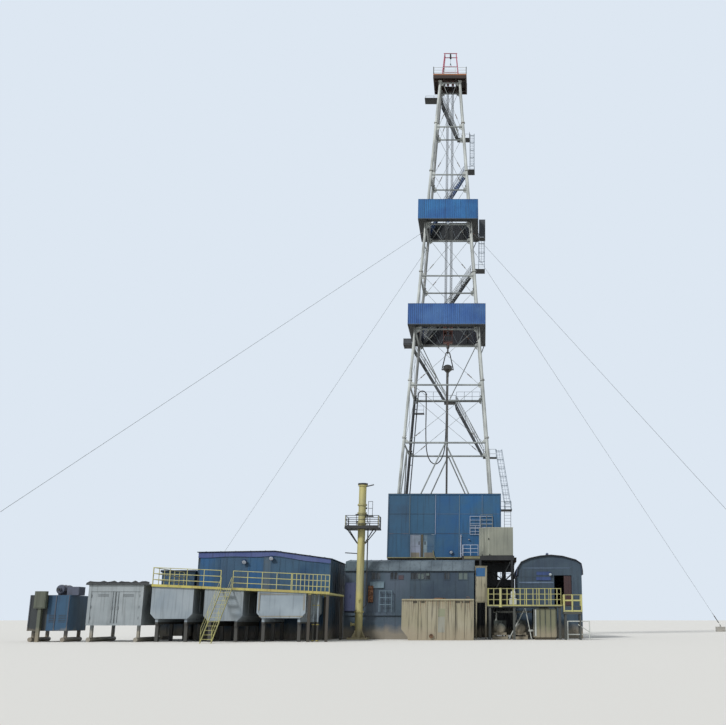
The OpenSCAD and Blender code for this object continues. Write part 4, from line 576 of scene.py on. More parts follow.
for name, sheet_paint in (("lower", lower_blue), ("upper", upper_blue)):
    low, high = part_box(f"{name}_wind_guard")
    foot, head = low[2], high[2]
    x, y = high[0], high[1]
    inset = 0.021
    sheets = [ribbed_sheet((-x, s * y, 0), (x, s * y, 0), foot, head, guard_depth, rib_pitch, (0, -s, 0))
        for s in (-1, 1)]
    sheets += [ribbed_sheet((s * x, -y + inset, 0), (s * x, y - inset, 0), foot, head, guard_depth, rib_pitch,
        (-s, 0, 0)) for s in (-1, 1)]
    guard = mesh_object(f"{name}_guard_sheets", joined(sheets), sheet_paint)
    place(guard)
    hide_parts(f"{name}_wind_guard")
    frames, trims, braces = [], [], []
    for s in (-1, 1):
        for along, across, turned in ((x, y, False), (y, x, True)):
            def spot(run, off, height):
                """A point on this side: how far along it, how far inside it, and how high."""
                return (s * (across - off), run, height) if turned else (run, s * (across - off), height)
            end = along - 0.03
            for rail, height in ((frames, head - 0.02), (trims, foot + 0.02)):
                rail.append(tube([spot(-end, 0.03, height), spot(end, 0.03, height)], 0.04, 6))
            for i in range(guard_bays + 1):
                run = -along + 0.04 + (2 * along - 0.08) * i / guard_bays
                frames.append(tube([spot(run, 0.04, foot), spot(run, 0.04, head - 0.02)], 0.035, 6))
                if i < guard_bays:
                    next_run = run + (2 * along - 0.08) / guard_bays
                    middle_run = (run + next_run) / 2
                    for top in (run, next_run):
                        braces.append(tube([spot(top, 0.045, head - 0.06),
                            spot(middle_run, 0.045, foot + 0.06)], 0.022, 5))
    fit(f"{name}_guard_posts", frames, board_steel)
    fit(f"{name}_guard_foot_rail", trims, trim_and_painted_highlight)
    fit(f"{name}_guard_braces", braces, trim_and_painted_highlight)
    bearers = []
    half_leg = leg_offset(foot)
    for s in (-1, 1):
        for lean in (-1, 1):
            outer_x, outer_y = x - 0.05, y - 0.05
            bearers.append(tube([(s * half_leg, lean * (half_leg + 0.08), foot - 0.75),
                (s * half_leg, lean * outer_y, foot - 0.05)], 0.05, 6))
            bearers.append(tube([(s * (half_leg + 0.08), lean * half_leg, foot - 0.75),
                (s * outer_x, lean * half_leg, foot - 0.05)], 0.05, 6))
            bearers.append(block((s * half_leg - 0.04, min(lean * half_leg, lean * outer_y), foot - 0.11),
                (s * half_leg + 0.04, max(lean * half_leg, lean * outer_y), foot - 0.032)))
    fit(f"{name}_board_bearers", bearers, board_steel)


# Crown
# A deck of beams and plate under the crown block, in rust-brown primer that is older than the
# gantry's red. A hand hoist hangs from a dark beam at the gantry's head, for changing sheaves.

# The primer is a brown so dark that it reads as black against the sky. The railing's pale grey, the
# gantry's red and the toe boards' orange are thin, later coats, faded at the edges.
crown_brown = painted_steel("rust_brown_primer", "#33231b", "#221e1b", rust="#4a2f20", rust_share=0.15,
    roughness=0.75)
crown_pale = painted_steel("pale_rail_paint", "#b9bcb6", "#8f938f", rust_share=0.12)
gantry_red = painted_steel("faded_red_gantry_paint", "#a33550", "#8c4a55", rust_share=0.1)
toe_orange = painted_steel("orange_brown_toe_board_paint", "#8f5a34", "#744c30", rust_share=0.2)
finish(crown_brown, "crown_deck", "crown_block")
finish(crown_pale, "crown_railing")
finish(gantry_red, "crown_gantry")
low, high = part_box("crown_deck")
deck_x, deck_y, deck_top, deck_foot = high[0], high[1], high[2], low[2]
toe_height = 0.09
toe_half = 0.006
toe_boards = [block((-deck_x, s * (deck_y - toe_half) - toe_half, deck_top),
    (deck_x, s * (deck_y - toe_half) + toe_half, deck_top + toe_height)) for s in (-1, 1)]
toe_boards += [block((s * (deck_x - toe_half) - toe_half, -deck_y + 0.013, deck_top),
    (s * (deck_x - toe_half) + toe_half, deck_y - 0.013, deck_top + toe_height)) for s in (-1, 1)]
fit("crown_toe_boards", toe_boards, toe_orange)
edge_angles = [tube([(-deck_x + 0.02, s * (deck_y - 0.02), deck_foot + 0.02),
    (deck_x - 0.02, s * (deck_y - 0.02), deck_foot + 0.02)], 0.04, 4) for s in (-1, 1)]
fit("crown_edge_angles", edge_angles, gantry_red)
post_height = 0.53
corner_posts = [tube([(s * (deck_x - 0.02), t * (deck_y - 0.02), deck_top),
    (s * (deck_x - 0.02), t * (deck_y - 0.02), deck_top + post_height)], 0.04, 8) for s, t in corners]
fit("crown_corner_posts", corner_posts, board_steel)
low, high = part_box("crown_gantry")
head = high[2] - 0.06
hoist = [block((-0.04, -0.24, head - 0.05), (0.04, 0.24, head + 0.03), 0.004),
    block((-0.05, -0.06, head - 0.14), (0.05, 0.06, head - 0.05), 0.01),
    tube([(0, 0, head - 0.14), (0, 0, head - 0.5)], 0.014, 6),
    tube([(0, 0, head - 0.5), (0, 0, head - 0.58)], [0.07, 0.05], 12)]
hoist.append(tube([(0.045 * math.sin(a), 0, head - 0.64 + 0.045 * math.cos(a)) for a in
    (math.pi * k / 8 for k in range(0, 13))], 0.02, 8))
fit("crown_hand_hoist", hoist, board_steel)
caps = [tube([(s * x, 0, crown_axle), (s * (x + 0.012), 0, crown_axle)], 0.12, 24)
    for s in (-1, 1) for x in (0.372, 0.39)]
for s in (-1, 1):
    for y in (-0.12, 0.12):
        caps += [tube([(s * x, y, deck_top), (s * x, y, deck_top + 0.03)], 0.03, 6) for x in (0.295, 0.385)]
fit("crown_bearing_bolts", caps, crown_brown)


# Stairs, landings and ladders
# Dark zigzag flights at the derrick's back with pale handrails that hands keep clean. A thin skirt
# of sheet deepens each stringer, and sheet kick panels close the landings' open ends. The flight
# above the upper board is blue, and so are the ladders.
ladder_dark_up_to = 6.45
# The black is worn to grey in patches. The blues are thin and dull, and the ladders' lowest lengths,
# beside the wind walls, are nearly black.
stair_black = painted_steel("dark_stair_paint", "#2b2e31", "#43474a", rust_share=0.16)
stair_blue = painted_steel("dark_blue_stair_paint", "#27406b", "#3d5578", rust_share=0.12)
ladder_blue = painted_steel("blue_grey_ladder_paint", "#475b6b", "#66757f", rust_share=0.12,
    below=(ladder_dark_up_to, "#2b2f33"))
finish(stair_black, "stair_flight_1", "stair_flight_2", "stair_flight_3", "stair_flight_5", "standpipe")
finish(stair_blue, "stair_flight_4")
finish(ladder_blue, "derrick_ladders")
stair_rail = 0.45
riser = 0.125
flight_slopes = {"stair_flight_1": -1, "stair_flight_2": -1, "stair_flight_3": 1, "stair_flight_4": 1,
    "stair_flight_5": -1}
handrails, nosings, skirts, blue_skirts = [], [], [], []
for name, way in flight_slopes.items():
    low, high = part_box(name)
    left, right = (low[0], high[0]) if way > 0 else (high[0], low[0])
    rise = (high[2] - low[2] - stair_rail) / 0.97
    start, run = Vector((left, 0, low[2])), Vector((right - left, 0, rise))
    for y in (low[1] + 0.008, high[1] - 0.008):
        for share in (0.5, 1.0):
            handrails.append(tube([start + run * t + Vector((0, y, stair_rail * share)) for t in (0.03, 0.97)],
                0.019, 6))
    count = round(rise / riser)
    for i in range(1, count):
        at = start + run * (i / count)
        nosings.append(tube([(at.x, y, at.z - 0.014) for y in (low[1] + 0.02, high[1] - 0.02)], 0.018, 5))
    upper, lower = -0.08 * up, -(abs(run.z / run.x) * 0.12 + 0.022) * up
    first, last = -lower.z / run.z, 0.985
    for y in (low[1] - 0.003, high[1] + 0.003):
        side = Vector((0, y, 0))
        ends = ((first, upper), (last, upper), (last, lower), (first, lower))
        skirt = plate([start + run * share + side + edge for share, edge in ends], 0.005)
        (blue_skirts if name == "stair_flight_4" else skirts).append(skirt)
fit("stair_handrails", handrails, crown_pale)
fit("stringer_skirts", skirts, stair_black)
fit("blue_stringer_skirts", blue_skirts, stair_blue)
fit("tread_nosings", nosings, bolt_steel)


def kick_panel(x, y0, y1, z0, z1):
    """A framed sheet across a landing's end."""
    rim = [tube([(x, y0, z), (x, y1, z)], 0.03, 4) for z in (z0, z1)]
    rim += [tube([(x, y, z0), (x, y, z1)], 0.03, 4) for y in (y0, y1)]
    return rim + [block((x - 0.004, y0, z0), (x + 0.004, y1, z1), 0.001)]


panels = kick_panel(1.98, 1.02, 1.47, 21.45, 22.5) + kick_panel(1.085, 1.0, 1.3, 27.47, 27.9)
panels += kick_panel(-2.49, 1.53, 2.4, 15.35, 15.7)
panels += [block((1.64, 1.01, 21.45), (1.97, 1.018, 22.5), 0.002),
    block((-2.48, 1.515, 15.35), (-2.03, 1.523, 15.7), 0.002)]
fit("landing_kick_panels", panels, stair_black)


# Travelling gear
# Travelling block of red plate over its grooved sheaves, with the forged hook, the round cast
# swivel and the kelly below it, which turns in the rotary table. All of it is filmed with grease.

# The crown's red is worn to primer. On the block below, the same red is painted darker, as painted
# shade from the guard round it, and has a wet gloss. The forged steel was never painted, and shines
# dully through its grease.
block_red = painted_steel("worn_red_block_paint", "#8f3d2d", "#6e4336", rust_share=0.2)
greasy_steel = painted_steel("greasy_forged_steel", "#4d4a45", "#35332f", rust_share=0.1, roughness=0.4)
shaded_block_red = painted_steel("glossy_red_block_paint_darkened_as_shade", "#5f3129", "#4b352f", rust_share=0.2, roughness=0.45)
finish(block_red, "crown_sheaves")
finish(shaded_block_red, "travelling_block", "block_sheaves")
finish(greasy_steel, "hook_and_bail", "swivel", "kelly", "rotary_table")
low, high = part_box("travelling_block")
cheek_face = high[0] - 0.024
cheek_bolt_radius = 0.2
fittings = []
for s in (-1, 1):
    fittings.append(tube([(s * x, 0, block_axle) for x in (cheek_face, cheek_face + 0.012)], 0.16, 24))
    for k in range(8):
        a = 2 * math.pi * k / 8
        y, z = cheek_bolt_radius * math.cos(a), block_axle + cheek_bolt_radius * math.sin(a)
        fittings.append(tube([(s * cheek_face, y, z), (s * (cheek_face + 0.014), y, z)], 0.03, 6))
fit("block_cheek_bolts", fittings, shaded_block_red, "block")
low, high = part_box("swivel")
swivel_foot = low[2]
ring_z = swivel_foot + 0.262
cap_bolt_radius = 0.19
turned = [(cap_bolt_radius * math.cos(a), cap_bolt_radius * math.sin(a)) for a in
    (2 * math.pi * k / 12 for k in range(12))]
caps = [tube([(x, y, ring_z - 0.01), (x, y, ring_z + 0.02)], 0.028, 6) for x, y in turned]
caps += [tube([(0, 0, swivel_foot + z), (0, 0, swivel_foot + z + 0.02)], 0.17, 24) for z in (0.29, 0.42)]
body_profile = {0.03: 0.15, 0.13: 0.34, 0.2: 0.47, 0.36: 0.46, 0.43: 0.3, 0.455: 0.16}
caps += [tube([(0, 0, swivel_foot + z) for z in body_profile], list(body_profile.values()), 24)]
fit("swivel_cap_bolts", caps, greasy_steel, "block")
low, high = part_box("rotary_table")
table_top = high[2]
pin_radius = 0.24
pin_spots = [(pin_radius * math.cos(a), pin_radius * math.sin(a)) for a in
    (math.pi / 4 + math.pi * k / 2 for k in range(4))]
pins = [tube([(x, y, table_top - 0.06), (x, y, table_top - 0.02)], 0.04, 12) for x, y in pin_spots]
fit("rotary_table_pins", pins, greasy_steel)


# Drill floor and substructure
# A floor of plate on black rolled beams, carried by two side frames whose posts are braced by
# welded gussets where they meet the chords.

# Dried mud leaves the plate a matt brown grey. The frames' black is paler low down, where mud splashes.
floor_steel = painted_steel("muddy_floor_plate", "#4b4a45", "#6d675b", rust_share=0.25, roughness=0.8)
frame_black = painted_steel("black_substructure_paint", "#131517", "#2a2b2b", rust_share=0.1, splash=0.3)
finish(floor_steel, "drill_floor")
finish(frame_black, "substructure", "door_hinges", "balcony")
side_x = foot_spacing / 2
frame_half_y = foot_spacing / 2 + 0.525 - 0.3
knees = []
for s in (-1, 1):
    for i in range(4):
        y = frame_half_y * (-1 + 2 * i / 3)
        for foot, rise in ((0.2, 1), (floor_top - 0.4, -1)):
            for way in (-1, 1):
                if abs(y + way * 0.2) < frame_half_y:
                    knees.append(plate([(s * side_x, y + way * 0.08, foot), (s * side_x, y + way * 0.3, foot),
                        (s * side_x, y + way * 0.08, foot + rise * 0.22)], 0.014))
fit("substructure_knees", knees, frame_black)


# Wind walls and doors
# Sheet walls round the floor, each bay from another batch of blue, with rolled strips over the
# seams. The two leaves are plain sheet in a flat frame, and swing inwards.

# Each bay has another blue, and each seam's strip another wear, from bare primer to chalk. The
# near-black stretches of the two level strips are painted shade, for the shadow in the seam's gap.
# One leaf is pale all over, the other half repainted in the walls' blue. Their feet are kicked beige.
wall_blue = painted_steel("blue_wall_sheet_paint", [(-2.7, "#23445d"), (-1.597, "#1a4966"), (-0.4, "#104974"),
    (0.736, "#0a4f7e")], "#25516e", rust_share=0.07, dents=0.2)
seam_cap = painted_steel("weathered_seam_caps", [(-2.7, "#15181c"), (-2.6, "#656f67"), (-1.0, "#b9b9d2"),
    (0.2, "#748380"), (1.3, "#68798c"), (2.6, "#1c2026")], "#5a636d", rust_share=0.12)
seam_upper = painted_steel("upper_seam_paint_and_gap_shade", [(-2.7, "#0f1318"), (-0.4, "#5d6b79")], "#38414a",
    rust_share=0.14)
seam_lower = painted_steel("lower_seam_paint_and_gap_shade", [(-2.7, "#6f6165"), (-1.6, "#161114"), (0.2, "#3a2428"),
    (0.8, "#556171")], "#313138", rust_share=0.2)
kerb_yellow = painted_steel("yellow_kerb_paint", "#8b865f", "#6c6a50", rust_share=0.2)
door_pale = painted_steel("pale_door_paint", "#818899", "#6c7782", rust_share=0.1)
door_mottled = painted_steel("half_repainted_door", [(-1.0, "#798a91"), (-0.78, "#294b68")], "#405a6d")
kick_beige = painted_steel("beige_kick_plate_paint", "#736d60", "#58534a", rust_share=0.2)
frame_brown = painted_steel("dark_brown_frame_paint", "#3d382b", "#4a4433", rust="#4a3826", rust_share=0.08)
finish(wall_blue, "wind_walls")
finish(door_pale, "front_door_left")
finish(door_mottled, "front_door_right")
low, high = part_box("wind_walls")
wall_left, wall_right, wall_back, wall_head = low[0], high[0], high[1], high[2]
wall_face = -3.0
strip_face = -3.0245
doorway_height = 1.075
door_head = floor_top + doorway_height
seams = (-1.632, -0.4, 0.736, 1.825)


def bolt_row(start, end, pitch, size=0.02, out=(0, -0.007, 0)):
    """Bolt heads along a line, at about a pitch."""
    start, end, out = Vector(start), Vector(end), Vector(out)
    count = max(1, round((end - start).length / pitch))
    spots = [start.lerp(end, (i + 0.5) / count) for i in range(count)]
    return [tube([spot, spot + out], size, 6) for spot in spots]


def frame_bars(x0, x1, z0, z1, y, size=0.03, sides=4):
    """Four bars round an upright opening."""
    return [tube(run, size, sides) for run in (((x0, y, z0), (x1, y, z0)), ((x0, y, z1), (x1, y, z1)),
        ((x0, y, z0), (x0, y, z1)), ((x1, y, z0), (x1, y, z1)))]


cap_face = wall_face - 0.0125
caps, heads = [], []
for x in (wall_left + 0.035, *seams, wall_right - 0.035):
    foot = door_head if x in seams[:2] else floor_top + 0.03
    caps.append(block((x - 0.009, cap_face - 0.007, foot), (x + 0.009, cap_face, wall_head - 0.075), 0.003))
    for beside in (x - 0.027, x + 0.027):
        heads += bolt_row((beside, cap_face, foot), (beside, cap_face, wall_head - 0.075), 0.3, 0.013)
fit("wall_seam_caps", caps, seam_cap)
heads += bolt_row((wall_left, strip_face, wall_head - 0.035), (wall_right, strip_face, wall_head - 0.035), 0.25,
    0.018)
fit("wall_bolt_heads", heads, wall_blue)
edges = [wall_left, *seams, wall_right]
# The level strips' near-black stretches are painted shade for the gap of the seam; the rest is their paint.
for name, height, paint in (("upper", 5.67, seam_upper), ("lower", 4.74, seam_lower)):
    strips = [block((a + 0.037, wall_face - 0.008, height - 0.008), (b - 0.037, wall_face, height + 0.008),
        0.003) for a, b in zip(edges, edges[1:])]
    fit(f"wall_{name}_seam_strips", strips, paint)
top_edge = [block((wall_left, -3.03, wall_head - 0.028), (wall_right, -3.0255, wall_head), 0.001)]
fit("wall_top_edge", top_edge, frame_black)
kerb = [block((wall_left, -3.024, floor_top - 0.03), (0.895, -3.001, floor_top + 0.012), 0.004)]
fit("floor_edge_kerb", kerb, kerb_yellow)
door_left, door_mid_left, door_mid_right, door_right = -1.597, -1.085, -0.965, -0.41
jambs = [block((door_mid_left + 0.006, -3.006, floor_top + 0.002), (door_mid_right - 0.006, -3.0005, door_head),
    0.002)]
jambs += frame_bars(-0.93, 0.93, floor_top + 0.03, floor_top + 2.03, wall_back + 0.016)
jambs += [tube([(wall_right + 0.016, y, z)
    for y, z in ((0.67, 3.64), (0.67, 4.735), (1.33, 4.735), (1.33, 3.64))], 0.03, 4)]
fit("door_jambs", jambs, frame_brown)
leaf_face = -2.96 - 0.024
leaf_foot, lock_rail, leaf_head = 3.645, 4.15, 4.69
for body, a, b, paint in (("door_left", door_left, door_mid_left, door_pale),
                          ("door_right", door_mid_right, door_right, door_mottled)):
    a, b = a + 0.012, b - 0.012
    rim = [block(low, high, 0.002) for low, high in (
        ((a, leaf_face - 0.008, leaf_foot), (a + 0.04, leaf_face, leaf_head)),
        ((b - 0.04, leaf_face - 0.008, leaf_foot), (b, leaf_face, leaf_head)),
        ((a + 0.04, leaf_face - 0.008, 4.65), (b - 0.04, leaf_face, leaf_head)),
        ((a + 0.04, leaf_face - 0.008, lock_rail), (b - 0.04, leaf_face, 4.18)))]
    fit(f"{body}_leaf_rim", rim, paint, body)
    kick = [block((a + 0.04, leaf_face - 0.006, leaf_foot), (b - 0.04, leaf_face, 3.86), 0.002)]
    fit(f"{body}_kick_plate", kick, kick_beige, body)
    hand = b - 0.07 if body == "door_left" else a + 0.07
    pull = [tube([(hand, leaf_face, 4.24), (hand, leaf_face - 0.014, 4.25), (hand, leaf_face - 0.014, 4.35),
        (hand, leaf_face, 4.36)], 0.01, 8), block((hand - 0.02, leaf_face - 0.006, 4.22),
        (hand + 0.02, leaf_face, 4.38), 0.002)]
    fit(f"{body}_handle", pull, frame_black, body)


# Cabin, balcony and lamps
# The driller's cabin of welded sheet on black girders and braces, a little balcony beside it with
# a yellow edge, and white rails of pipe round that and up the wall. Black ribbed sheets under the
# cabin are painted shade for the deep shade inside the substructure, and floodlights are clamped
# on wherever work is done.

# The olive beige is even, as on a part that was sprayed in the shop, and paler on the chalked
# edges. The yellow was brushed on by hand, over and over, and shows rust at every chip.
cabin_beige = painted_steel("olive_beige_cabin_paint", "#87897c", "#76796f", rust_share=0.05)
cabin_pale = painted_steel("chalked_cabin_edge_paint", "#b1b2a4", "#9d9d8f", rust_share=0.06)
safety_yellow = painted_steel("safety_yellow_paint", "#b4af6c", "#a2a077", rust_share=0.17)
finish(cabin_beige, "control_cabin")
low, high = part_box("control_cabin")
cabin_left, cabin_right, cabin_front, cabin_head = low[0], high[0], low[1], floor_top + 1.3
bevel = 0.46
plan = [(cabin_left, -3.07), (cabin_left, cabin_front + bevel), (cabin_left + bevel, cabin_front),
    (cabin_right, cabin_front), (cabin_right, -3.07)]
roof_edge = tube([(x, y, cabin_head - 0.016) for x, y in plan], 0.032, 4)
stripes = [tube([(x, y - 0.002, floor_top + 0.02), (x, y - 0.002, cabin_head - 0.03)], 0.014, 4) for x, y in
    [(cabin_left + bevel * t, cabin_front + bevel * (1 - t)) for t in (0.03, 0.35, 0.62, 0.97)]]
fit("cabin_edge_trims", [roof_edge] + stripes, cabin_pale)
seam_spots = [(2.52, cabin_front - 0.001), (2.9, cabin_front - 0.001), (cabin_right + 0.001, -3.9),
    (cabin_right + 0.001, -3.5)]
seams_here = [tube([(x, y, floor_top + 0.02), (x, y, cabin_head - 0.03)], 0.008, 4) for x, y in seam_spots]
fit("cabin_sheet_seams", seams_here, cabin_beige)
skirt = [tube([(x, y, floor_top + 0.012) for x, y in plan], 0.03, 4),
    block((2.1, cabin_front - 0.03, 4.36), (2.15, cabin_front, 4.43), 0.008),
    block((1.8, cabin_front + 0.28, 3.66), (1.85, cabin_front + 0.33, 3.71), 0.008),
    block((2.15, cabin_front - 0.02, 3.66), (2.2, cabin_front, 3.71), 0.006)]
fit("cabin_skirt_and_eyes", skirt, frame_black)
edge_plate = [block((0.995, -4.306, 3.5), (1.725, -4.3, 3.6), 0.002)]
fit("balcony_edge_plate", edge_plate, kerb_yellow)
brace_face = -2.82
girder_left, girder_joint, girder_right = 1.3, 2.32, 3.34
sheet_foot, upper_chord, lower_chord = 0.1, 3.38, 2.33
girders = []
for z0, z1 in ((2.97, 3.4), (lower_chord, 2.6)):
    girders += [block((girder_left, brace_face - 0.01, z0), (girder_right, brace_face + 0.01, z1), 0.002)]
    girders += [block((girder_left, brace_face - 0.05, z - 0.012), (girder_right, brace_face + 0.05, z + 0.012),
        0.003) for z in (z0, z1)]
    girders += [block((1.43 + 0.27 * k, brace_face - 0.045, z0), (1.442 + 0.27 * k, brace_face - 0.01, z1),
        0.002) for k in range(8)]
girders.append(block((2.78, brace_face - 0.006, 2.6), (2.92, brace_face + 0.006, 2.97), 0.002))
for x in (1.66, girder_joint, 2.78, 2.92, 3.3):
    girders.append(tube([(x, brace_face, 0.02), (x, brace_face, upper_chord)], 0.08, 4))
for a, b in (((1.66, 2.33), (2.32, 2.96)), ((2.32, 2.33), (1.66, 2.96)), ((2.36, 2.93), (2.76, 2.62)),
             ((2.95, 2.62), (3.27, 2.93)), ((2.32, 0.1), (2.78, 2.33)), ((3.3, 0.1), (2.92, 2.33))):
    girders.append(tube([(a[0], brace_face, a[1]), (b[0], brace_face, b[1])], 0.07, 4))
# Painted shade: black ribbed sheets stand in for the deep shade inside the substructure behind the girders.
shade_sheets = [ribbed_sheet((a, brace_face + 0.04, 0), (b, brace_face + 0.04, 0), sheet_foot, head, 0.02, 0.11,
    (0, 1, 0)) for a, b, head in ((girder_left, girder_joint, upper_chord),
    (girder_joint, girder_right, lower_chord))]
fit("cabin_girders_and_braces", girders, frame_black)
fit("cabin_side_painted_shade_sheets", shade_sheets, frame_black)
# White gloss, painted blue grey for the open shade it stands in, with rust at the welds.
white_rail = painted_steel("white_rail_paint", "#b4bccb", "#8f98a6", rust_share=0.1)
rails = []
for a, b, count in (((0.93, -3.045), (0.93, -4.255), 3), ((0.945, -4.27), (1.635, -4.27), 2)):
    a, b = Vector((*a, floor_top)), Vector((*b, floor_top))
    rails += [tube([a + up * z, b + up * z], 0.024, 8) for z in (0.155, 0.322, 0.49)]
    for i in range(count + 1):
        foot = a.lerp(b, i / count)
        rails.append(tube([foot, foot + up * 0.503], 0.026, 8))
for x0, x1, z0, z1 in ((1.25, 1.76, 4.7, 5.12), (1.25, 2.32, 5.03, 5.55)):
    y = -3.055
    rails += frame_bars(x0, x1, z0, z1, y, 0.024, 8)
    rails += [tube([(x0, y, z), (x1, y, z)], 0.02, 8) for z in (z0 + (z1 - z0) * t for t in (0.33, 0.66))]
    middle_post = 1.72 if x1 > 2 else 1.5
    rails += [tube([(middle_post, y, z0), (middle_post, y, z1)], 0.022, 8)]
    rails += [tube([(x, y, z), (x, -3.014, z)], 0.02, 6) for x in (x0, x1) for z in (z0 + 0.05, z1 - 0.05)]
rails.append(tube([(0.82, -3.05, floor_top), (0.82, -3.05, 4.695)], 0.045, 12))
rails += [block((0.78, -3.075, z), (0.86, -3.013, z + 0.03), 0.004) for z in (3.8, 4.6)]
fit("white_rails", rails, white_rail)
drain = tube([(-0.495, -3.04, 3.95), (-0.46, -3.05, 3.75), (-0.36, -3.05, 3.5), (-0.3, -3.05, 3.37)], 0.045, 10)
place(mesh_object("floor_drain_pipe", drain, kerb_yellow))
lamp_glass, output = empty_material("frosted_lamp_glass")
# Thick toughened glass, frosted by dust, pale where the sky shows in it.
tree = lamp_glass.node_tree
haze = step(tree, rock(tree, 25.0), 0.35, 0.7, linear("#dfe6ee"), linear("#aebfd0"))
surface = add_node(tree, "ShaderNodeBsdfPrincipled", Base_Color=haze, Roughness=0.25, Specular_IOR_Level=0.7)
tree.links.new(surface.outputs["BSDF"], output.inputs["Surface"])


def floodlight(name, at, size, away, reach=0.1):
    """A round floodlight on a bracket: its place, width, aim, and how far behind it the bracket holds."""
    at, away = Vector(at), Vector(away).normalized()
    shell = [tube([at - away * size * 0.6, at - away * size * 0.45, at, at + away * size * 0.08],
        [size * 0.45, size * 0.7, size, size * 1.04], 20),
        tube([at - away * size * 0.5, at + Vector((0, reach, 0))], size * 0.16, 6)]
    shell += [tube([at - away * size * t, at - away * size * (t - 0.03)], size * 0.98, 20)
        for t in (0.12, 0.24, 0.36)]
    fit(f"{name}_lamp_shell", shell, stair_blue)
    glass = tube([at + away * size * 0.05, at + away * size * 0.1, at + away * size * 0.12],
        [size * 0.9, size * 0.86, size * 0.5], 20)
    place(mesh_object(f"{name}_lamp_glass", glass, lamp_glass))


floodlight("floor_front", (0.36, -3.12, 3.86), 0.17, (0.3, -1, -0.5), 0.11)
floodlight("balcony", (1.2, -3.09, 4.46), 0.09, (0, -1, -0.8), 0.075)
floodlight("upper_board", (0, -1.5, 21.24), 0.16, (0, -0.7, -1), 0.0)
floodlight("shed_left", (-8.035, -8.66, 3.1), 0.2, (0, -1, -0.7), 0.12)
floodlight("shed_middle", (-6.925, -8.66, 3.25), 0.2, (0, -1, -0.7), 0.12)
floodlight("shelter", (4.85, -5.62, 2.74), 0.14, (0, -1, -0.6), 0.09)


# Pump house
# A slate-painted house of sheet on rails, under a speckled grey sheet roof that comes down low in
# front. Its panes are dusty and painted dark as shade for the room behind them, one boarded over
# and one patched round a vent, and a few things hang on its wall.

# The slate is a blue grey, each bay a little off the next, muddy at the foot and dented by knocks.
# The roof's grey is speckled with soot and rust.
slate_paint = painted_steel("slate_wall_paint", [(-4.1, "#44515f"), (-1.22, "#293a4a"), (0.6, "#2b3b4b")],
    "#394a56", rust_share=0.07, splash=0.35, dents=0.2)
roof_grey = painted_steel("speckled_grey_roof_paint", [(-4.1, "#4b6164"), (-3.1, "#5b676e"), (0.9, "#545f66")],
    "#3f4b53", rust_share=0.13, dents=0.25)
finish(slate_paint, "pump_house", "shelter")
finish(roof_grey, "pump_house_roof")
low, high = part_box("pump_house")
house_left, house_right, house_face = low[0], high[0], -7.5
covers, heads = [], []
for x in (-3.95, -3.2, -2.3, -1.22, -0.25, 0.68, 1.43):
    covers.append(block((x - 0.02, house_face - 0.008, 0.02), (x + 0.02, house_face, 2.4), 0.003))
    heads += bolt_row((x, house_face - 0.008, 0.1), (x, house_face - 0.008, 2.4), 0.28, 0.016)
covers += [block((house_left, house_face - 0.02, 2.755), (house_right, house_face, 2.785), 0.004),
    block((-1.54, house_face - 0.012, 1.07), (house_right, house_face, 1.1), 0.003)]
fit("pump_house_cover_strips", covers + heads, slate_paint)
dirty_glass, output = empty_material("dusty_window_glass_painted_dark")
# Window glass, painted nearly black as shade for the room behind it, with a film of dust that the rain has run
# through.
tree = dirty_glass.node_tree
film = step(tree, rock(tree, 3.0, 5.0, (0.5, 0.5, 1.5)), 0.45, 0.75, linear("#14181c"), linear("#4c545a"))
surface = add_node(tree, "ShaderNodeBsdfPrincipled", Base_Color=film, Roughness=0.22)
tree.links.new(surface.outputs["BSDF"], output.inputs["Surface"])
# The boards' paint was white once, and is grey with algae. The red board is almost brown.
board_green = painted_steel("greenish_white_board_paint", "#586562", "#515d5d", rust_share=0.12)
red_board = painted_steel("dull_red_board_paint", "#48363b", "#393841", rust_share=0.2)
panes, boards = [], []
for x, width in ((-2.68, 0.38), (-1.915, 0.3), (-0.79, 0.82), (0.335, 0.22), (1.015, 0.38)):
    pane = block((x - width / 2 + 0.002, house_face + 0.012, 2.442),
        (x + width / 2 - 0.002, house_face + 0.018, 2.728), 0.001)
    (boards if x > 1 else panes).append(pane)
boards.append(tube([(-0.76 + 0.13 * math.cos(a), house_face + 0.006, 2.56 + 0.1 * math.sin(a))
    for a in (math.pi * n / 12 for n in range(25))], 0.02, 5))
boards += [block((x0, house_face + 0.004, z0), (x1, house_face + 0.012, z1), 0.004) for x0, x1, z0, z1 in
    ((-0.88, -0.66, 2.46, 2.68), (-0.56, -0.42, 2.6, 2.7))]
fit("pump_house_panes", panes, dirty_glass)
fit("pump_house_window_boards", boards, board_green)
red_sheet = block((-1.72, house_face - 0.02, 2.44), (-1.5, house_face - 0.001, 2.62), 0.004)
place(mesh_object("pump_house_red_board", red_sheet, red_board))
roof_profile = [(-7.564, 2.8), (-7.2, 3.21), (-5.8, 3.35), (-4.6, 3.31), (-3.24, 2.97)]
roof_bays = 12
roof_ribs = []
for i in range(roof_bays + 1):
    x = house_left + 0.02 + (house_right - house_left - 0.04) * i / roof_bays
    roof_ribs.append(tube([(x, y, z + 0.004) for y, z in roof_profile], 0.022, 5))
roof_ribs.append(tube([(house_left - 0.02, -7.567, 2.8), (house_right + 0.02, -7.567, 2.8)], 0.03, 6))
fit("pump_house_roof_ribs", roof_ribs, roof_grey)
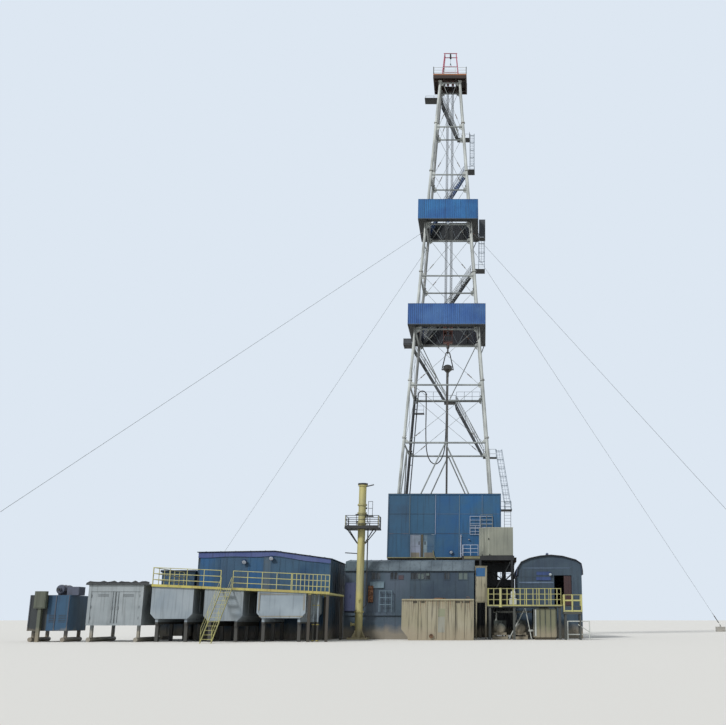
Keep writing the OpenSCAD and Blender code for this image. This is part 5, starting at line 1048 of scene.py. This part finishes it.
# Pale blue chalk on the hung sheet and its guard of pipe, orange brown primer on the hose box, and
# a violet blue on the locker, which is the newest of them and the least faded.
hung_blue = painted_steel("pale_blue_sheet_paint", "#718896", "#61737c", rust_share=0.1)
guard_y = -7.64
hung = [block((-2.92, -7.545, 2.08), (-2.32, -7.53, 2.35), 0.003)]
hung += frame_bars(-2.9, -2.34, 2.1, 2.33, -7.55, 0.024)
hung += [tube([(x, house_face, z), (x, -7.535, z)], 0.03, 6) for x in (-2.8, -2.45) for z in (2.15, 2.28)]
for x in (-2.5, -2.24, -1.98):
    hung.append(tube([(x, guard_y, 1.1), (x, guard_y, 1.98)], 0.03, 8))
    hung.append(tube([(x, guard_y, 1.95), (x, house_face, 1.95)], 0.024, 6))
hung += [tube([(-2.5, guard_y, z), (-1.98, guard_y, z)], 0.026, 8) for z in (1.4, 1.68, 1.96)]
fit("wall_sheet_and_guard", hung, hung_blue)
orange_brown = painted_steel("orange_brown_cabinet_paint", "#855b3a", "#6c503a", rust_share=0.25)
hose_box = [block((-2.99, -7.6, 1.49), (-2.77, -7.501, 2.18), 0.012), block((-2.975, -7.612, 1.51),
    (-2.785, -7.6, 2.16), 0.004), tube([(-2.8, -7.62, 1.8), (-2.8, -7.62, 1.9)], 0.016, 6)]
fit("wall_hose_box", hose_box, orange_brown)
violet_paint = painted_steel("violet_blue_locker_paint", "#394062", "#434b66", rust_share=0.14)
locker = [block((-3.97, -7.65, 1.13), (-3.48, -7.501, 2.31), 0.012)]
locker += [block((x, -7.658, 1.16), (x + 0.22, -7.65, 2.28), 0.003) for x in (-3.955, -3.715)]
locker += [tube([(x, -7.668, 1.7), (x, -7.668, 1.82)], 0.014, 6) for x in (-3.745, -3.705)]
fit("wall_locker", locker, violet_paint)


# Shelter
# An arched hut of slate-painted sheet, raised to the platform's height at its door. A dark roll
# trims the arch, and an inner leaf of dull red ribbed sheet stands half across the doorway.

# The roof is a paler, bluer slate than the walls, dented where it was walked on.
shelter_grey = painted_steel("slate_roof_paint", "#3d4763", "#59637d", rust_share=0.1, dents=0.25)
finish(shelter_grey, "shelter_roof")
arch = [(3.425, 2.7), (3.45, 2.99), (3.605, 3.27), (3.965, 3.43), (4.415, 3.53), (4.9, 3.57), (5.4, 3.52),
    (5.97, 3.36), (6.2, 3.2), (6.25, 2.9), (6.25, 2.7)]
arch_middle = 4.8375
arch_line = [(arch_middle + (x - arch_middle) * 1.03, -5.57, z + 0.012) for x, z in arch]
place(mesh_object("shelter_arch_roll", tube(arch_line, 0.045, 8), frame_black))
bows = [tube([(arch_middle + (x - arch_middle) * 1.032, y, z + 0.028) for x, z in arch], 0.02, 5)
    for y in [-5.0 + 0.58 * i for i in range(8)]]
fit("shelter_roof_seams", bows, shelter_grey)
face = -5.5
ribs = [block((x - 0.012, face - 0.008, 0.03), (x + 0.012, face, 2.62), 0.003)
    for x in (3.6, 3.95, 4.3, 4.65, 5.92, 6.1)]
for y in [-5.2 + 0.42 * i for i in range(11)]:
    ribs += [block((x - 0.008, y - 0.015, 0.03), (x, y + 0.015, 2.66), 0.003) for x in (3.425, 6.258)]
fit("shelter_sheet_ribs", ribs, slate_paint)
# A chalky pale blue picks out the strips, and the panel over the door is a dull full blue.
pale_seam = painted_steel("pale_blue_strip_paint", "#5c6d83", "#49596e", rust_share=0.12)
strips = [block((3.66, face - 0.012, 3.0), (5.74, face - 0.0005, 3.03), 0.003),
    block((3.46, face - 0.02, 2.35), (4.99, face - 0.009, 2.42), 0.003)]
fit("shelter_pale_strips", strips, pale_seam)
panel = [block((4.23, face - 0.03, 2.48), (4.88, face - 0.014, 2.625), 0.004)]
panel += frame_bars(4.25, 4.86, 2.72, 2.85, face - 0.01, 0.02)
panel.append(block((4.25, face - 0.008, 2.72), (4.86, face - 0.001, 2.85), 0.002))
panel_blue = painted_steel("dull_blue_panel_paint", "#2c4272", "#33486e", rust_share=0.08)
fit("shelter_blue_panels", panel, panel_blue)
vent = [tube([(4.75, -5.2, foot), (4.75, -5.2, head)], width, 16) for foot, head, width in
    ((3.58, 3.66, 0.1), (3.65, 3.7, (0.16, 0.05)), (3.59, 3.62, 0.17))]
fit("shelter_roof_vent", vent, shelter_grey)
# Red primer that was never painted over, brown in the shade of the doorway.
leaf_red = painted_steel("dull_red_door_paint", "#472e2d", "#38292b", rust_share=0.2)
leaf = ribbed_sheet((5.46, face + 0.03, 0), (5.79, face + 0.03, 0), 1.4, 2.69, 0.02, 0.08, (0, 1, 0))
place(mesh_object("shelter_inner_leaf", leaf, leaf_red))


# Water tank and switch cabinet
# A ribbed tank in beige paint that its seams have rusted through, patched in green and pale blue.
# The cabinet beside it stands on posts, with a blue sheet over the top of its door.

# The beige is thin, with brown rust in runs from every seam. One touched-up patch is greener and
# one bluer, the rim is pale with lime, and the weeps are bare rust, matt and red brown.
rusty_beige = painted_steel("rusty_beige_tank_paint", "#8c866f", "#958f7b", rust="#7f5f40", rust_share=0.13,
    runs=0.75, splash=0.35, dents=0.1)
patch_green = painted_steel("green_patch_paint", "#768269", "#81826b", rust="#7f5f40", rust_share=0.13)
patch_blue = painted_steel("pale_blue_patch_paint", "#858c87", "#898678", rust="#7f5f40", rust_share=0.13)
red_rust = painted_steel("bare_red_rust", "#7c5a40", "#6b5440", rust="#4f3a2a", rust_share=0.3, roughness=0.9)
pale_rim = painted_steel("pale_rim_paint", "#9c947a", "#857e6a", rust="#7f5f40", rust_share=0.13)
finish(rusty_beige, "water_tank", "switch_cabinet")
tank_face = -9.5
hatch_y = -8.9
fit("tank_pale_rim", [block((-1.39, -9.546, 1.545), (1.49, -9.541, 1.597), 0.002)], pale_rim)
for colour, foot, head, paint in (("green", 0.92, 1.22, patch_green), ("blue", 0.3, 0.9, patch_blue)):
    patch = block((0.065, tank_face - 0.006, foot), (0.34, tank_face, head), 0.002)
    fit(f"tank_{colour}_patch", [patch], paint)
weep_y, weep_head = tank_face - 0.001, 1.53
weeps = []
for i in range(34):
    x = -1.33 + 0.083 * i + 0.02 * math.sin(7.3 * i)
    drop = 0.18 + 0.55 * abs(math.sin(2.9 * i)) ** 2
    weeps.append(plate([(x - 0.004 - 0.008 * (i % 3), weep_y, weep_head), (x + 0.004, weep_y, weep_head),
        (x + 0.002, weep_y, weep_head - drop)], 0.002))
fit("tank_rust_weeps", weeps, red_rust)
# Painted shade: dark plates stand for the shade inside the tank's slots.
slot_shade_plates = [block((a, tank_face - 0.012, 1.44), (b, tank_face, 1.52), 0.004)
    for a, b in ((-0.94, -0.74), (-0.62, -0.48), (0.77, 0.94), (1.02, 1.32))]
fit("tank_slot_shade_plates", slot_shade_plates, frame_brown)
fittings = [tube([(-0.2, tank_face - near, 0.16), (-0.2, tank_face - far, 0.16)], width, sides)
    for near, far, width, sides in ((0, 0.05, 0.11, 16), (0.05, 0.075, 0.17, 16), (0.07, 0.09, 0.06, 12))]
for x in (-1.05, 1.25):
    handle = ((x - 0.05, 1.6), (x - 0.05, 1.69), (x + 0.05, 1.69), (x + 0.05, 1.6))
    fittings.append(tube([(a, hatch_y, z) for a, z in handle], 0.024, 6))
fittings += [tube([(0.1, hatch_y, foot), (0.1, hatch_y, head)], width, 28) for foot, head, width in
    ((1.6, 1.63, 0.5), (1.63, 1.65, 0.44))]
fit("tank_outlet_and_hatch", fittings, red_rust)
door = -7.412
cover = [block((1.565, door - 0.012, 2.575), (1.95, door - 0.001, 2.93), 0.003)]
# The newest blue on the rig, deep and even.
sheet_blue = painted_steel("hung_blue_sheet_paint", "#1a4f80", "#275a84", rust_share=0.08)
fit("cabinet_blue_sheet", cover, sheet_blue)
trims = [block((1.9, door - 0.02, 2.15), (1.94, door, 2.29), 0.004), tube([(1.92, door - 0.02, 2.2),
    (1.92, door - 0.036, 2.2), (1.92, door - 0.036, 2.26), (1.92, door - 0.02, 2.26)], 0.012, 6)]
trims += [tube([(1.575, door - 0.01, z), (1.575, door - 0.01, z + 0.09)], 0.02, 8) for z in (1.65, 2.2, 2.4)]
trims += [block((1.65, door - 0.008, z), (1.88, door, z + 0.014), 0.002) for z in (1.6, 1.64, 1.68, 1.72)]
fit("cabinet_handle_and_louvres", trims, rusty_beige)


# Right platform and its machines
# A yellow platform of bar treads in front of the pump skids, its rail a row of thin posts with one
# thick one. Two pumps with finned motors and an olive tank stand under it, piped together, and a
# small step platform on a white trestle stands at its right.
deck_level = 1.385
# The yellow stops at the deck, and the posts below it are a dark grey. The machines are a grey
# green that oil keeps dull, and the tank an olive that is faded on top.
platform_yellow = painted_steel("yellow_platform_on_dark_posts", "#aaa664", "#95936a", rust_share=0.2,
    below=(deck_level - 0.035, "#3f413d"))
finish(platform_yellow, "right_platform")
machine_green = painted_steel("grey_green_machine_paint", "#3c443f", "#2d332f", rust_share=0.18, splash=0.4)
olive_paint = painted_steel("olive_tank_paint", "#6f7058", "#64644f", rust_share=0.1, splash=0.3)
finish(machine_green, "right_platform_units")
grating = []
for i in range(38):
    x = 2.1 + i * 0.08
    grating.append(block((x, -8.46, deck_level), (x + 0.012, -6.14, deck_level + 0.008), 0.002))
fit("platform_tread_bars", grating, floor_steel)
rail_y = -8.48
posts = [tube([(2.59, rail_y, deck_level - 0.09), (2.59, rail_y, 2.06)], 0.1, 12)]
posts += [tube([(x, rail_y, deck_level), (x, rail_y, 2.05)], 0.036, 8)
    for x in (2.07, 2.31, 2.86, 3.13, 3.4, 3.66, 3.93, 4.18, 4.42, 4.67, 4.92)]
posts += [tube([(2.59, rail_y, deck_level - 0.09), (2.59, rail_y, deck_level - 0.02)], 0.14, 12)]
fit("platform_thick_posts", posts, safety_yellow)
boxes = [block((2.98, -7.56, deck_level + 0.01), (3.29, -7.4, 1.66), 0.02),
    block((3.04, -7.54, 1.67), (3.24, -7.42, 1.95), 0.03),
    tube([(3.14, -7.5, 1.95), (3.14, -7.5, 2.0)], 0.05, 12)]
fit("platform_white_boxes", boxes, crown_pale)
fit("olive_tank_pale_edge", [block((3.96, -8.405, 0.14), (4.06, -8.381, 1.2), 0.004)], crown_pale)
skin = [block((3.96, -8.384, 0.1), (4.895, -8.3805, 1.23), 0.001)]
skin += [tube([(4.43, -7.6, foot), (4.43, -7.6, head)], width, 24) for foot, head, width in
    ((1.24, 1.275, 0.4), (1.27, 1.29, 0.34))]
fit("olive_tank_panels_and_hatch", skin, olive_paint)
motor_radius, fin_depth, fin_count = 0.206, 0.022, 24
motor_front, motor_back = Vector((0, -7.93, 0)), Vector((0, -7.58, 0))
fins, pipes = [], []
for x in (2.26, 3.08):
    middle, axis = x + 0.32, 0.45
    for k in range(fin_count):
        a = 2 * math.pi * k / fin_count
        out = Vector((math.cos(a), 0, math.sin(a)))
        spot = Vector((middle, 0, axis)) + out * motor_radius
        fins.append(plate([spot + motor_front, spot + motor_back, spot + out * fin_depth + motor_back,
            spot + out * fin_depth + motor_front], 0.006))
    fins += [tube([(middle, -7.96, axis), (middle, -7.985, axis)], [0.4, 0.3], 28),
        block((middle - 0.09, -7.86, 0.655), (middle + 0.09, -7.68, 0.77), 0.012)]
    outlet = middle - 0.15
    pipes += [tube(smooth_route([(outlet, -7.35, 0.74), (outlet, -7.35, 0.98), (outlet, -7.2, 1.12),
        (outlet, -6.7, 1.12)], 6), 0.07, 10)]
    pipes += [tube([(outlet, -7.35, z), (outlet, -7.35, z + 0.025)], 0.13, 12) for z in (0.765, 0.93)]
pipes += [tube([(2.3, -6.7, 1.12), (3.95, -6.95, 1.12)], 0.09, 12),
    tube([(3.75, -7.9, 0.35), (3.955, -7.9, 0.35)], 0.09, 12)]
pipes += [tube([(2.95, -8.1, 0.04), (3.6, -8.1, 1.25)], 0.05, 8),
    tube([(3.86, -8.2, 0.04), (3.62, -8.2, 1.25)], 0.04, 8)]
fit("motor_fins_and_boxes", fins, machine_green)
fit("pump_pipes", pipes, crown_pale)
trestle_y = -8.93
step_braces = [tube([(5.715, trestle_y, 0.605), (6.155, trestle_y, 0.33)], 0.035, 8)]
step_braces += [tube([(x, trestle_y, 0.01), (x, trestle_y, 0.75)], 0.05, 8) for x in (5.3, 6.18)]
step_braces += [tube([(5.3, trestle_y, z), (6.18, trestle_y, z)], 0.04, 8) for z in (0.215, 0.73)]
fit("step_platform_white_frame", step_braces, crown_pale)
step_posts = [tube([(x, -8.98, 1.1), (x, -8.98, 1.79)], 0.06, 10) for x in (5.17, 5.5, 5.88)]
step_posts += [block((5.16, -8.99, z), (5.89, -8.97, z + 0.06), 0.004) for z in (1.105, 1.52)]
fit("step_platform_posts", step_posts, safety_yellow)


# Shaker house
# A long blue sheet house behind the tanks, each sheet another shade, under a violet fascia that
# sags. The unit at its left end is darker blue, with pale streaks where its rivets weep.

# Every sheet is another blue, from fresh to nearly grey, with mud along the foot. The fascia's
# violet is a blue that the sun has turned.
sheet_blues = [(-11.5, "#254056"), (-9.99, "#0c1218"), (-9.92, "#12507e"), (-9.3, "#154263"),
    (-9.05, "#2c4862"), (-7.92, "#144e79"), (-7.28, "#4a5964"), (-7.0, "#2b4860"), (-5.76, "#0f3b5a"),
    (-4.52, "#333f4b")]
shed_blue = painted_steel("shaker_house_sheet_paint", sheet_blues, "#2e516a", rust_share=0.07, splash=0.4,
    dents=0.15)
violet_blue = painted_steel("violet_fascia_paint", "#3c4b7e", "#4f5c88", rust_share=0.1, dents=0.1)
finish(shed_blue, "shaker_house")
shed_face = -8.5


def shed_roof(x):
    """Height of the shaker house's roof line."""
    return 3.5 + 0.05 * (x + 9.985) / 3.185 if x < -6.8 else 3.55 - 0.315 * (x + 6.8) / 2.335


shed_left, shed_right = -9.985, -4.465
fascia_depth, fascia_sag = 0.2, 0.02
stations = 24
points, faces = [], []
for i in range(stations + 1):
    x = shed_left + 5.52 * i / stations
    for y in (shed_face - 0.034, shed_face - 0.027):
        points += [Vector((x, y, shed_roof(x) - fascia_depth - fascia_sag * math.sin(3.1 * x))),
            Vector((x, y, shed_roof(x) - 0.012))]
for i in range(stations):
    a, b = 4 * i, 4 * i + 4
    faces += [[a, b, b + 1, a + 1], [a + 2, a + 3, b + 3, b + 2]]
    faces += [[a + 1, b + 1, b + 3, a + 3], [a, a + 2, b + 2, b]]
end = 4 * stations
faces += [[0, 1, 3, 2], [end, end + 2, end + 3, end + 1]]
place(mesh_object("shed_fascia_sheet", (points, faces), violet_blue))
roof_line = [tube([(-10.03, -8.565, 3.51), (-6.8, -8.565, 3.56), (-4.41, -8.565, 3.238)], 0.03, 6)]
roof_line += [tube([(x, -8.5, shed_roof(x) + 0.035), (x, -3.0, shed_roof(x) + 0.035)], 0.03, 5)
    for x in [-9.7 + 0.62 * i for i in range(9)]]
fit("shed_roof_edge_and_seams", roof_line, frame_black)
shed_ribs, shed_bolts = [], []
sheet_edges = (shed_left, -9.1, -7.86, -6.62, -5.54, shed_right)
for a, b in zip(sheet_edges, sheet_edges[1:]):
    for t in (0.25, 0.5, 0.75):
        x = a + (b - a) * t
        shed_ribs.append(block((x - 0.01, shed_face - 0.007, 0.03), (x + 0.01, shed_face, shed_roof(x) - 0.25),
            0.002))
    if b < shed_right:
        seam_face = shed_face - 0.0125
        shed_bolts += bolt_row((b, seam_face, 0.2), (b, seam_face, shed_roof(b) - 0.3), 0.25, 0.016)
for y in [-8.1 + 0.6 * i for i in range(9)]:
    shed_ribs.append(block((shed_right, y - 0.012, 0.03), (-4.457, y + 0.012, 3.15), 0.002))
    shed_ribs.append(block((-9.993, y - 0.012, 0.03), (shed_left, y + 0.012, 3.4), 0.002))
shed_ribs += frame_bars(-8.0, -6.2, 0.02, 3.2, -2.985, 0.03)
fit("shed_sheet_ribs_and_bolts", shed_ribs + shed_bolts, shed_blue)
weeps = [block((x - 0.006, -8.5885, 1.6 - 0.2 * (i % 3)), (x + 0.006, -8.586, 2.45 - 0.1 * (i % 2)), 0.0005)
    for i, x in enumerate((-11.38, -11.07, -10.75, -10.43, -10.11))]
fit("side_unit_pale_streaks", weeps, pale_seam)
fit("side_unit_roof_edge", [tube([(-11.48, -8.62, 2.735), (-10.03, -8.62, 2.735)], 0.05, 6)], frame_black)


# Mud tanks, their deck and stair
# Three welded plate tanks on footings under one sloping deck, which rusts along its yellow edge.
# Their fronts are plain above a bead along the foot, their sides have angle stiffeners, and the
# third has a raised beige border. Three flanged pipes stand at its right.
footing_top = 0.72
# The tanks' blue grey is chalky and differs from tank to tank, over footings black with mud. The
# yellow runs brown along the edge, and the posts under the deck are a dark brown.
tank_grey = painted_steel("blue_grey_tank_paint", [(-11.0, "#8b949a"), (-8.7, "#838a8d"), (-6.8, "#8f9aa1")],
    "#7d8890", rust_share=0.14, dents=0.1, below=(footing_top, "#3b3a36"))
deck_rusty = painted_steel("rusting_yellow_edge", [(-10.6, "#b3aa55"), (-9.0, "#aba055"), (-6.3, "#9e8a4c"),
    (-5.3, "#a99c54")], "#9c9255", rust="#7d4f2c", rust_share=0.17, runs=0.4)
finish(tank_grey, "mud_tanks")
deck_yellow = painted_steel("yellow_deck_on_brown_posts", "#b4af6c", "#a2a077", rust_share=0.17,
    below=(1.7, "#3a352d"))
finish(deck_yellow, "tank_deck")
finish(safety_yellow, "tank_stair")
finish(frame_black, "floor_stair")


def deck_height(x):
    """Top of the sloping deck."""
    return 2.05 - (x + 10.5) * 0.0424


toe_y = -12.564
skirts = [plate([(x, toe_y, deck_height(x) + rise)
    for x, rise in ((a, -0.055), (b, -0.055), (b, 0.03), (a, 0.03))], 0.006)
    for a, b in ((-10.5, -7.91), (-7.49, -3.85))]
fit("deck_toe_plates", skirts, deck_rusty)
treads = [block((x, -12.45, deck_height(x) + 0.003), (x + 0.03, -8.7, deck_height(x) + 0.012), 0.002) for x in
    [-10.4 + 0.2 * i for i in range(32)]]
treads.append(plate([(x, y, deck_height(x) + 0.002)
    for x, y in ((-10.47, -12.5), (-3.88, -12.5), (-3.88, -8.66), (-10.47, -8.66))], 0.003))
fit("deck_plate_and_treads", treads, floor_steel)
front = -12.5
stiffeners = []
for left, right, foot in ((-10.485, -8.925, 0.825), (-8.515, -7.065, 0.75), (-6.535, -4.725, 0.85)):
    head = deck_height((left + right) / 2) - 0.1
    stiffeners += [tube([(x, y, foot + 0.26), (x, y, head - 0.06)], 0.03, 4)
        for x in (left - 0.012, right + 0.012) for y in (-11.6, -10.6, -9.6)]
    stiffeners.append(tube([(x, front - 0.002, foot + 0.004) for x in (left + 0.28, right - 0.28)], 0.018, 6))
fit("tank_stiffeners", stiffeners, tank_grey)
border = [block((x0, front - depth, z0), (x1, front, z1), 0.006) for x0, x1, depth, z0, z1 in
    ((-6.5, -6.44, 0.026, 1.13, 1.76), (-4.82, -4.76, 0.026, 1.13, 1.7), (-6.44, -4.82, 0.026, 0.88, 0.93),
     (-6.44, -4.82, 0.02, 1.69, 1.73))]
# A beige undercoat, as chalky as the paint beside it.
border_beige = painted_steel("faded_border_paint", "#878479", "#7a786f", rust_share=0.15)
fit("third_tank_border", border, border_beige)
pipe_y = -12.25
pipe_rings = [tube([(x, pipe_y, z), (x, pipe_y, z + 0.03)], 0.12, 16) for x in (-4.64, -4.47, -4.3)
    for z in (0.02, 0.6, 1.3)]
fit("pipe_flanges", pipe_rings, deck_rusty)


# Gas separator
# A tall column of flanged pipe on a square base, with stud bolts through its flanges, a gauge low
# down and a dark cap on top. Brackets carry a small plated platform with rails round it and a
# short step above it, and a black pipe runs down the side from the platform.

# Yellow that mud and rain have streaked, most of all under the flanges.
separator_yellow = painted_steel("streaked_yellow_column_paint", "#b3aa6c", "#a19c72", rust_share=0.14,
    runs=0.6, splash=0.5)
finish(separator_yellow, "separator_column")
column_x, column_y = -3.292, -8.0
stud_radius, stud_count = 0.18, 16
stud_spots = [(column_x + stud_radius * math.cos(a), column_y + stud_radius * math.sin(a)) for a in
    (2 * math.pi * k / stud_count for k in range(stud_count))]
studs = [tube([(x, y, z - 0.012), (x, y, z + 0.072)], 0.02, 6)
    for z in (1.08, 4.7, 5.15, 5.5) for x, y in stud_spots]
studs += [tube([(x, y, 0.08), (x, y, 0.12)], 0.05, 6) for x, y in
    [(column_x + s * 0.34, column_y + t * 0.34) for s, t in corners]]
fit("column_flange_studs", studs, bolt_steel)
deck = 4.55
step_y = -8.28
platform_bits = [block((-3.94 + 0.1 * i, -8.49, deck), (-3.925 + 0.1 * i, -7.51, deck + 0.008), 0.002)
    for i in range(15) if abs(-3.93 + 0.1 * i - column_x) > 0.2]
platform_bits += [block((x0, y0, deck + foot), (x1, y1, deck + head), 0.002) for x0, x1, y0, y1, foot, head in
    ((-3.95, -2.512, -8.502, -8.496, -0.05, 0.07), (-3.955, -3.949, -8.503, -7.497, -0.053, 0),
     (-2.515, -2.509, -8.503, -7.497, -0.053, 0), (-3.955, -2.509, -7.503, -7.497, -0.053, 0),
     (-3.955, -2.509, -8.503, -7.497, -0.056, -0.05))]
platform_corners = [(-3.932, -8.48), (-2.532, -8.48), (-2.532, -7.52), (-3.932, -7.52)]
for (x0, y0), (x1, y1) in zip(platform_corners, platform_corners[1:] + platform_corners[:1]):
    platform_bits += [tube([(x0, y0, deck + h), (x1, y1, deck + h)], 0.024, 6) for h in (0.157, 0.323, 0.49)]
    spans = max(1, round(math.dist((x0, y0), (x1, y1)) / 0.48))
    for k in range(spans + 1):
        inset = 0.02 / math.dist((x0, y0), (x1, y1)) * (1 - 2 * k / spans)
        x, y = x0 + (x1 - x0) * (k / spans + inset), y0 + (y1 - y0) * (k / spans + inset)
        platform_bits.append(tube([(x, y, deck), (x, y, deck + 0.5)], 0.026, 6))
for s, t in corners:
    platform_bits.append(tube([(column_x + s * 0.17, column_y + t * 0.12, deck - 0.625), (column_x + s * 0.56,
        column_y + t * 0.44, deck - 0.068)], 0.046, 6))
upper_step = [block((-3.11, -8.3, 5.03), (-2.8, -7.9, 5.06), 0.004),
    tube([(-3.11, step_y, 5.04), (-2.9, step_y, 4.6)], 0.024, 6)]
upper_step += [tube([(x, step_y, 5.05), (x, step_y, 5.66)], 0.022, 6) for x in (-3.0, -2.82)]
upper_step += [tube([(-3.0, step_y, h), (-2.82, step_y, h)], 0.02, 6) for h in (5.36, 5.65)]
platform_bits += upper_step + [block((-3.948, -8.496, deck + 0.0005), (-2.516, -7.504, deck + 0.004), 0.001)]
column_fittings = [tube([(column_x, column_y, 6.385), (column_x, column_y, 6.452)], 0.425, 24),
    tube([(-3.22, -8.02, 6.3), (-2.815, -8.05, 6.395)], 0.05, 8),
    tube([(-3.02, column_y, 4.5), (-3.02, column_y, 1.4), (-3.14, column_y, 1.25)], 0.05, 8),
    tube([(-3.45, -8.05, 3.49), (-3.95, -8.05, 3.52)], 0.04, 8)]
column_fittings += [tube([(x0, column_y, h), (x1, column_y, h)], 0.075, 10) for x0, x1, h in
    ((-3.44, -3.57, 5.115), (-3.14, -3.08, 5.395), (-3.14, -3.03, 5.1), (-3.44, -3.54, 4.82))]
fit("column_cap_and_fittings", column_fittings, frame_black)
fit("column_platform_treads", platform_bits, frame_black)
gauge = [tube([(column_x, -8.157, 1.5), (column_x, -8.2, 1.5), (column_x, -8.2, 1.58)], 0.025, 8),
    tube([(column_x, -8.185, 1.63), (column_x, -8.215, 1.63)], 0.11, 20)]
gauge += [tube([(column_x - near, column_y, 0.6), (column_x - far, column_y, 0.6)], width, 16)
    for near, far, width in ((0.157, 0.3, 0.11), (0.3, 0.33, 0.2))]
fit("column_gauge_and_outlet", gauge, separator_yellow)


# Left units
# A grey power cabin with double doors and a blue engine box, both on tube skids. The engine's
# silencer lies along the box's roof, with a starter cabinet beside it and a control box on a post.

# The cabin's grey is chalky and pale, and the gear left of it darker, from slate to olive. The
# engine box is a deep blue whose left bay is black with soot. The lock bars are rubbed darker.
cabin_grey = painted_steel("grey_cabin_paint", [(-15.1, "#4d525c"), (-14.75, "#555a4c"), (-14.33, "#4a5060"),
    (-13.3, "#8f9699"), (-11.85, "#949b9e")], [(-15.1, "#3c4148"), (-14.75, "#4b4f44"), (-14.33, "#3f444f"),
    (-13.3, "#7f878a")], rust_share=0.1, splash=0.3)
engine_blue = painted_steel("engine_box_paint", [(-15.1, "#202426"), (-14.31, "#193a54"), (-13.62, "#24495f")],
    [(-15.1, "#2f3536"), (-14.31, "#234a66")], rust_share=0.08, splash=0.2)
finish(cabin_grey, "left_units")
hinge_bits = []
face = -12.48
for x, hand in ((-12.29, 1), (-11.36, -1)):
    edge = x - hand * 0.43
    hinge_bits += [tube([(edge, face - 0.012, z), (edge, face - 0.012, z + 0.1)], 0.022, 8)
        for z in (0.8, 1.2, 1.6)]
    bar = x + hand * 0.36
    hinge_bits.append(tube([(bar, face - 0.012, 0.68), (bar, face - 0.012, 1.79)], 0.018, 8))
    hinge_bits.append(block((bar - 0.03, face - 0.02, 1.15), (bar + 0.03, face, 1.27), 0.004))
    hinge_bits += [block((x - 0.2, face - 0.008, z), (x + 0.2, face, z + 0.018), 0.003)
        for z in (1.62, 1.66, 1.7)]
lock_grey = painted_steel("lock_bar_paint", "#6f7578", "#5d6265", rust_share=0.15)
fit("cabin_hinges_and_lock_bars", hinge_bits, lock_grey)
gap = [block((-11.835, -12.503, 0.66), (-11.815, -12.497, 1.81), 0.001)]
lip_y, lip_foot = -12.52, 2.09
bumps = [(-12.95 + 2.34 * i / 18, 0.03 + 0.05 * abs(math.sin(1.7 * i)) + 0.02 * (i % 3)) for i in range(19)]
lip = [plate([(x, lip_y, lip_foot + h) for x, h in ((x0, 0), (x1, 0), (x1, h1), (x0, h0))], 0.06)
    for (x0, h0), (x1, h1) in zip(bumps, bumps[1:])]
lip += [tube([(-12.95, -12.563, 2.07), (-10.6, -12.563, 2.07)], 0.03, 6)]
fit("cabin_roof_edge_and_door_gap", gap + lip, frame_black)
box_left, box_right, box_foot, box_head = -15.0, -13.5, 0.39, 1.68
skins = [block((x0, y0, box_foot + 0.01), (x1, y1, box_head - 0.004), 0.002) for x0, x1, y0, y1 in
    ((box_left + 0.002, box_right - 0.002, -12.506, -12.5), (box_right, box_right + 0.006, -12.498, -10.81))]
fit("engine_box_sheets", skins, engine_blue)
engine_bits = [block((-14.95 + 0.36 * k, -12.512, z), (-14.68 + 0.36 * k, -12.505, z + 0.02), 0.003)
    for k in (2, 3) for z in (0.7, 0.76, 0.82, 0.88, 0.94)]
engine_bits += [tube([(-14.0, -12.42, 1.89), (-14.0, -12.5, 1.89)], 0.1, 16)]
fit("engine_box_louvres", engine_bits, frame_black)
white_cover = [block((-14.68, -12.665, 1.6), (-14.4, -12.656, 1.76), 0.003),
    tube([(-14.54, -12.66, 1.42), (-14.54, -12.67, 1.42)], 0.1, 16)]
fit("control_box_cover", white_cover, white_rail)
band_radius = 0.174
hoops = [tube([(-14.0 + band_radius * math.cos(a), y, 1.89 + band_radius * math.sin(a)) for a in
    (math.pi * k / 14 for k in range(29))], 0.016, 5) for y in (-12.2, -11.85, -11.5)]
fit("silencer_bands", hoops, bolt_steel)


# Guy lines and anchors
# Four wire ropes from the upper board's height to concrete blocks, each drawn tight by a turnbuckle
# and made off round a thimble with three rope grips.
finish(wire_rope, "guy_lines")
concrete, output = empty_material("cast_concrete")
# Cast in a board mould: grey cement stained by the ground, with pores that catch the light.
tree = concrete.node_tree
cement = step(tree, rock(tree, 6.0, 8.0), 0.3, 0.7, linear("#8f8c85"), linear("#b3afa6"))
pores = add_node(tree, "ShaderNodeBump", Strength=0.5, Distance=0.004, Height=rock(tree, 40.0, 6.0))
surface = add_node(tree, "ShaderNodeBsdfPrincipled", Base_Color=cement, Roughness=0.92,
    Normal=pores.outputs["Normal"])
tree.links.new(surface.outputs["BSDF"], output.inputs["Surface"])
finish(concrete, "guy_anchors")
grips = []
for side, foot in (((-1, -1), (-18.15, -19.45)), ((1, 1), (18.15, 19.45)), ((-1, 1), (-18.15, 15.8)),
                   ((1, -1), (13.75, -16.0))):
    head, eye = leg_point(side, 20.9), Vector((*foot, 0.41))
    along = (eye - head).normalized()
    across = along.cross(up).normalized()
    for k in range(3):
        for spot in (head + along * (0.3 + 0.09 * k), eye - along * (1.05 + 0.09 * k)):
            grips.append(tube([spot - across * 0.025, spot + across * 0.025], 0.03, 6))
    for reach in (0.98, 0.32):
        grips.append(tube([eye - along * reach, eye - along * (reach - 0.03)], 0.075, 8))
    grips.append(tube([eye - along * 0.03 + up * 0.02, eye - along * 0.03 - up * 0.02], 0.1, 12))
    grips += [tube([(foot[0], foot[1], 0.32), (foot[0], foot[1], 0.335)], 0.14, 16)]
fit("guy_rope_grips", grips, bolt_steel)


# Size of the finished object beside the CAD model's
low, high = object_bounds()
{"cad": [list(cad_low), list(cad_high)], "finished": [list(low), list(high)]}
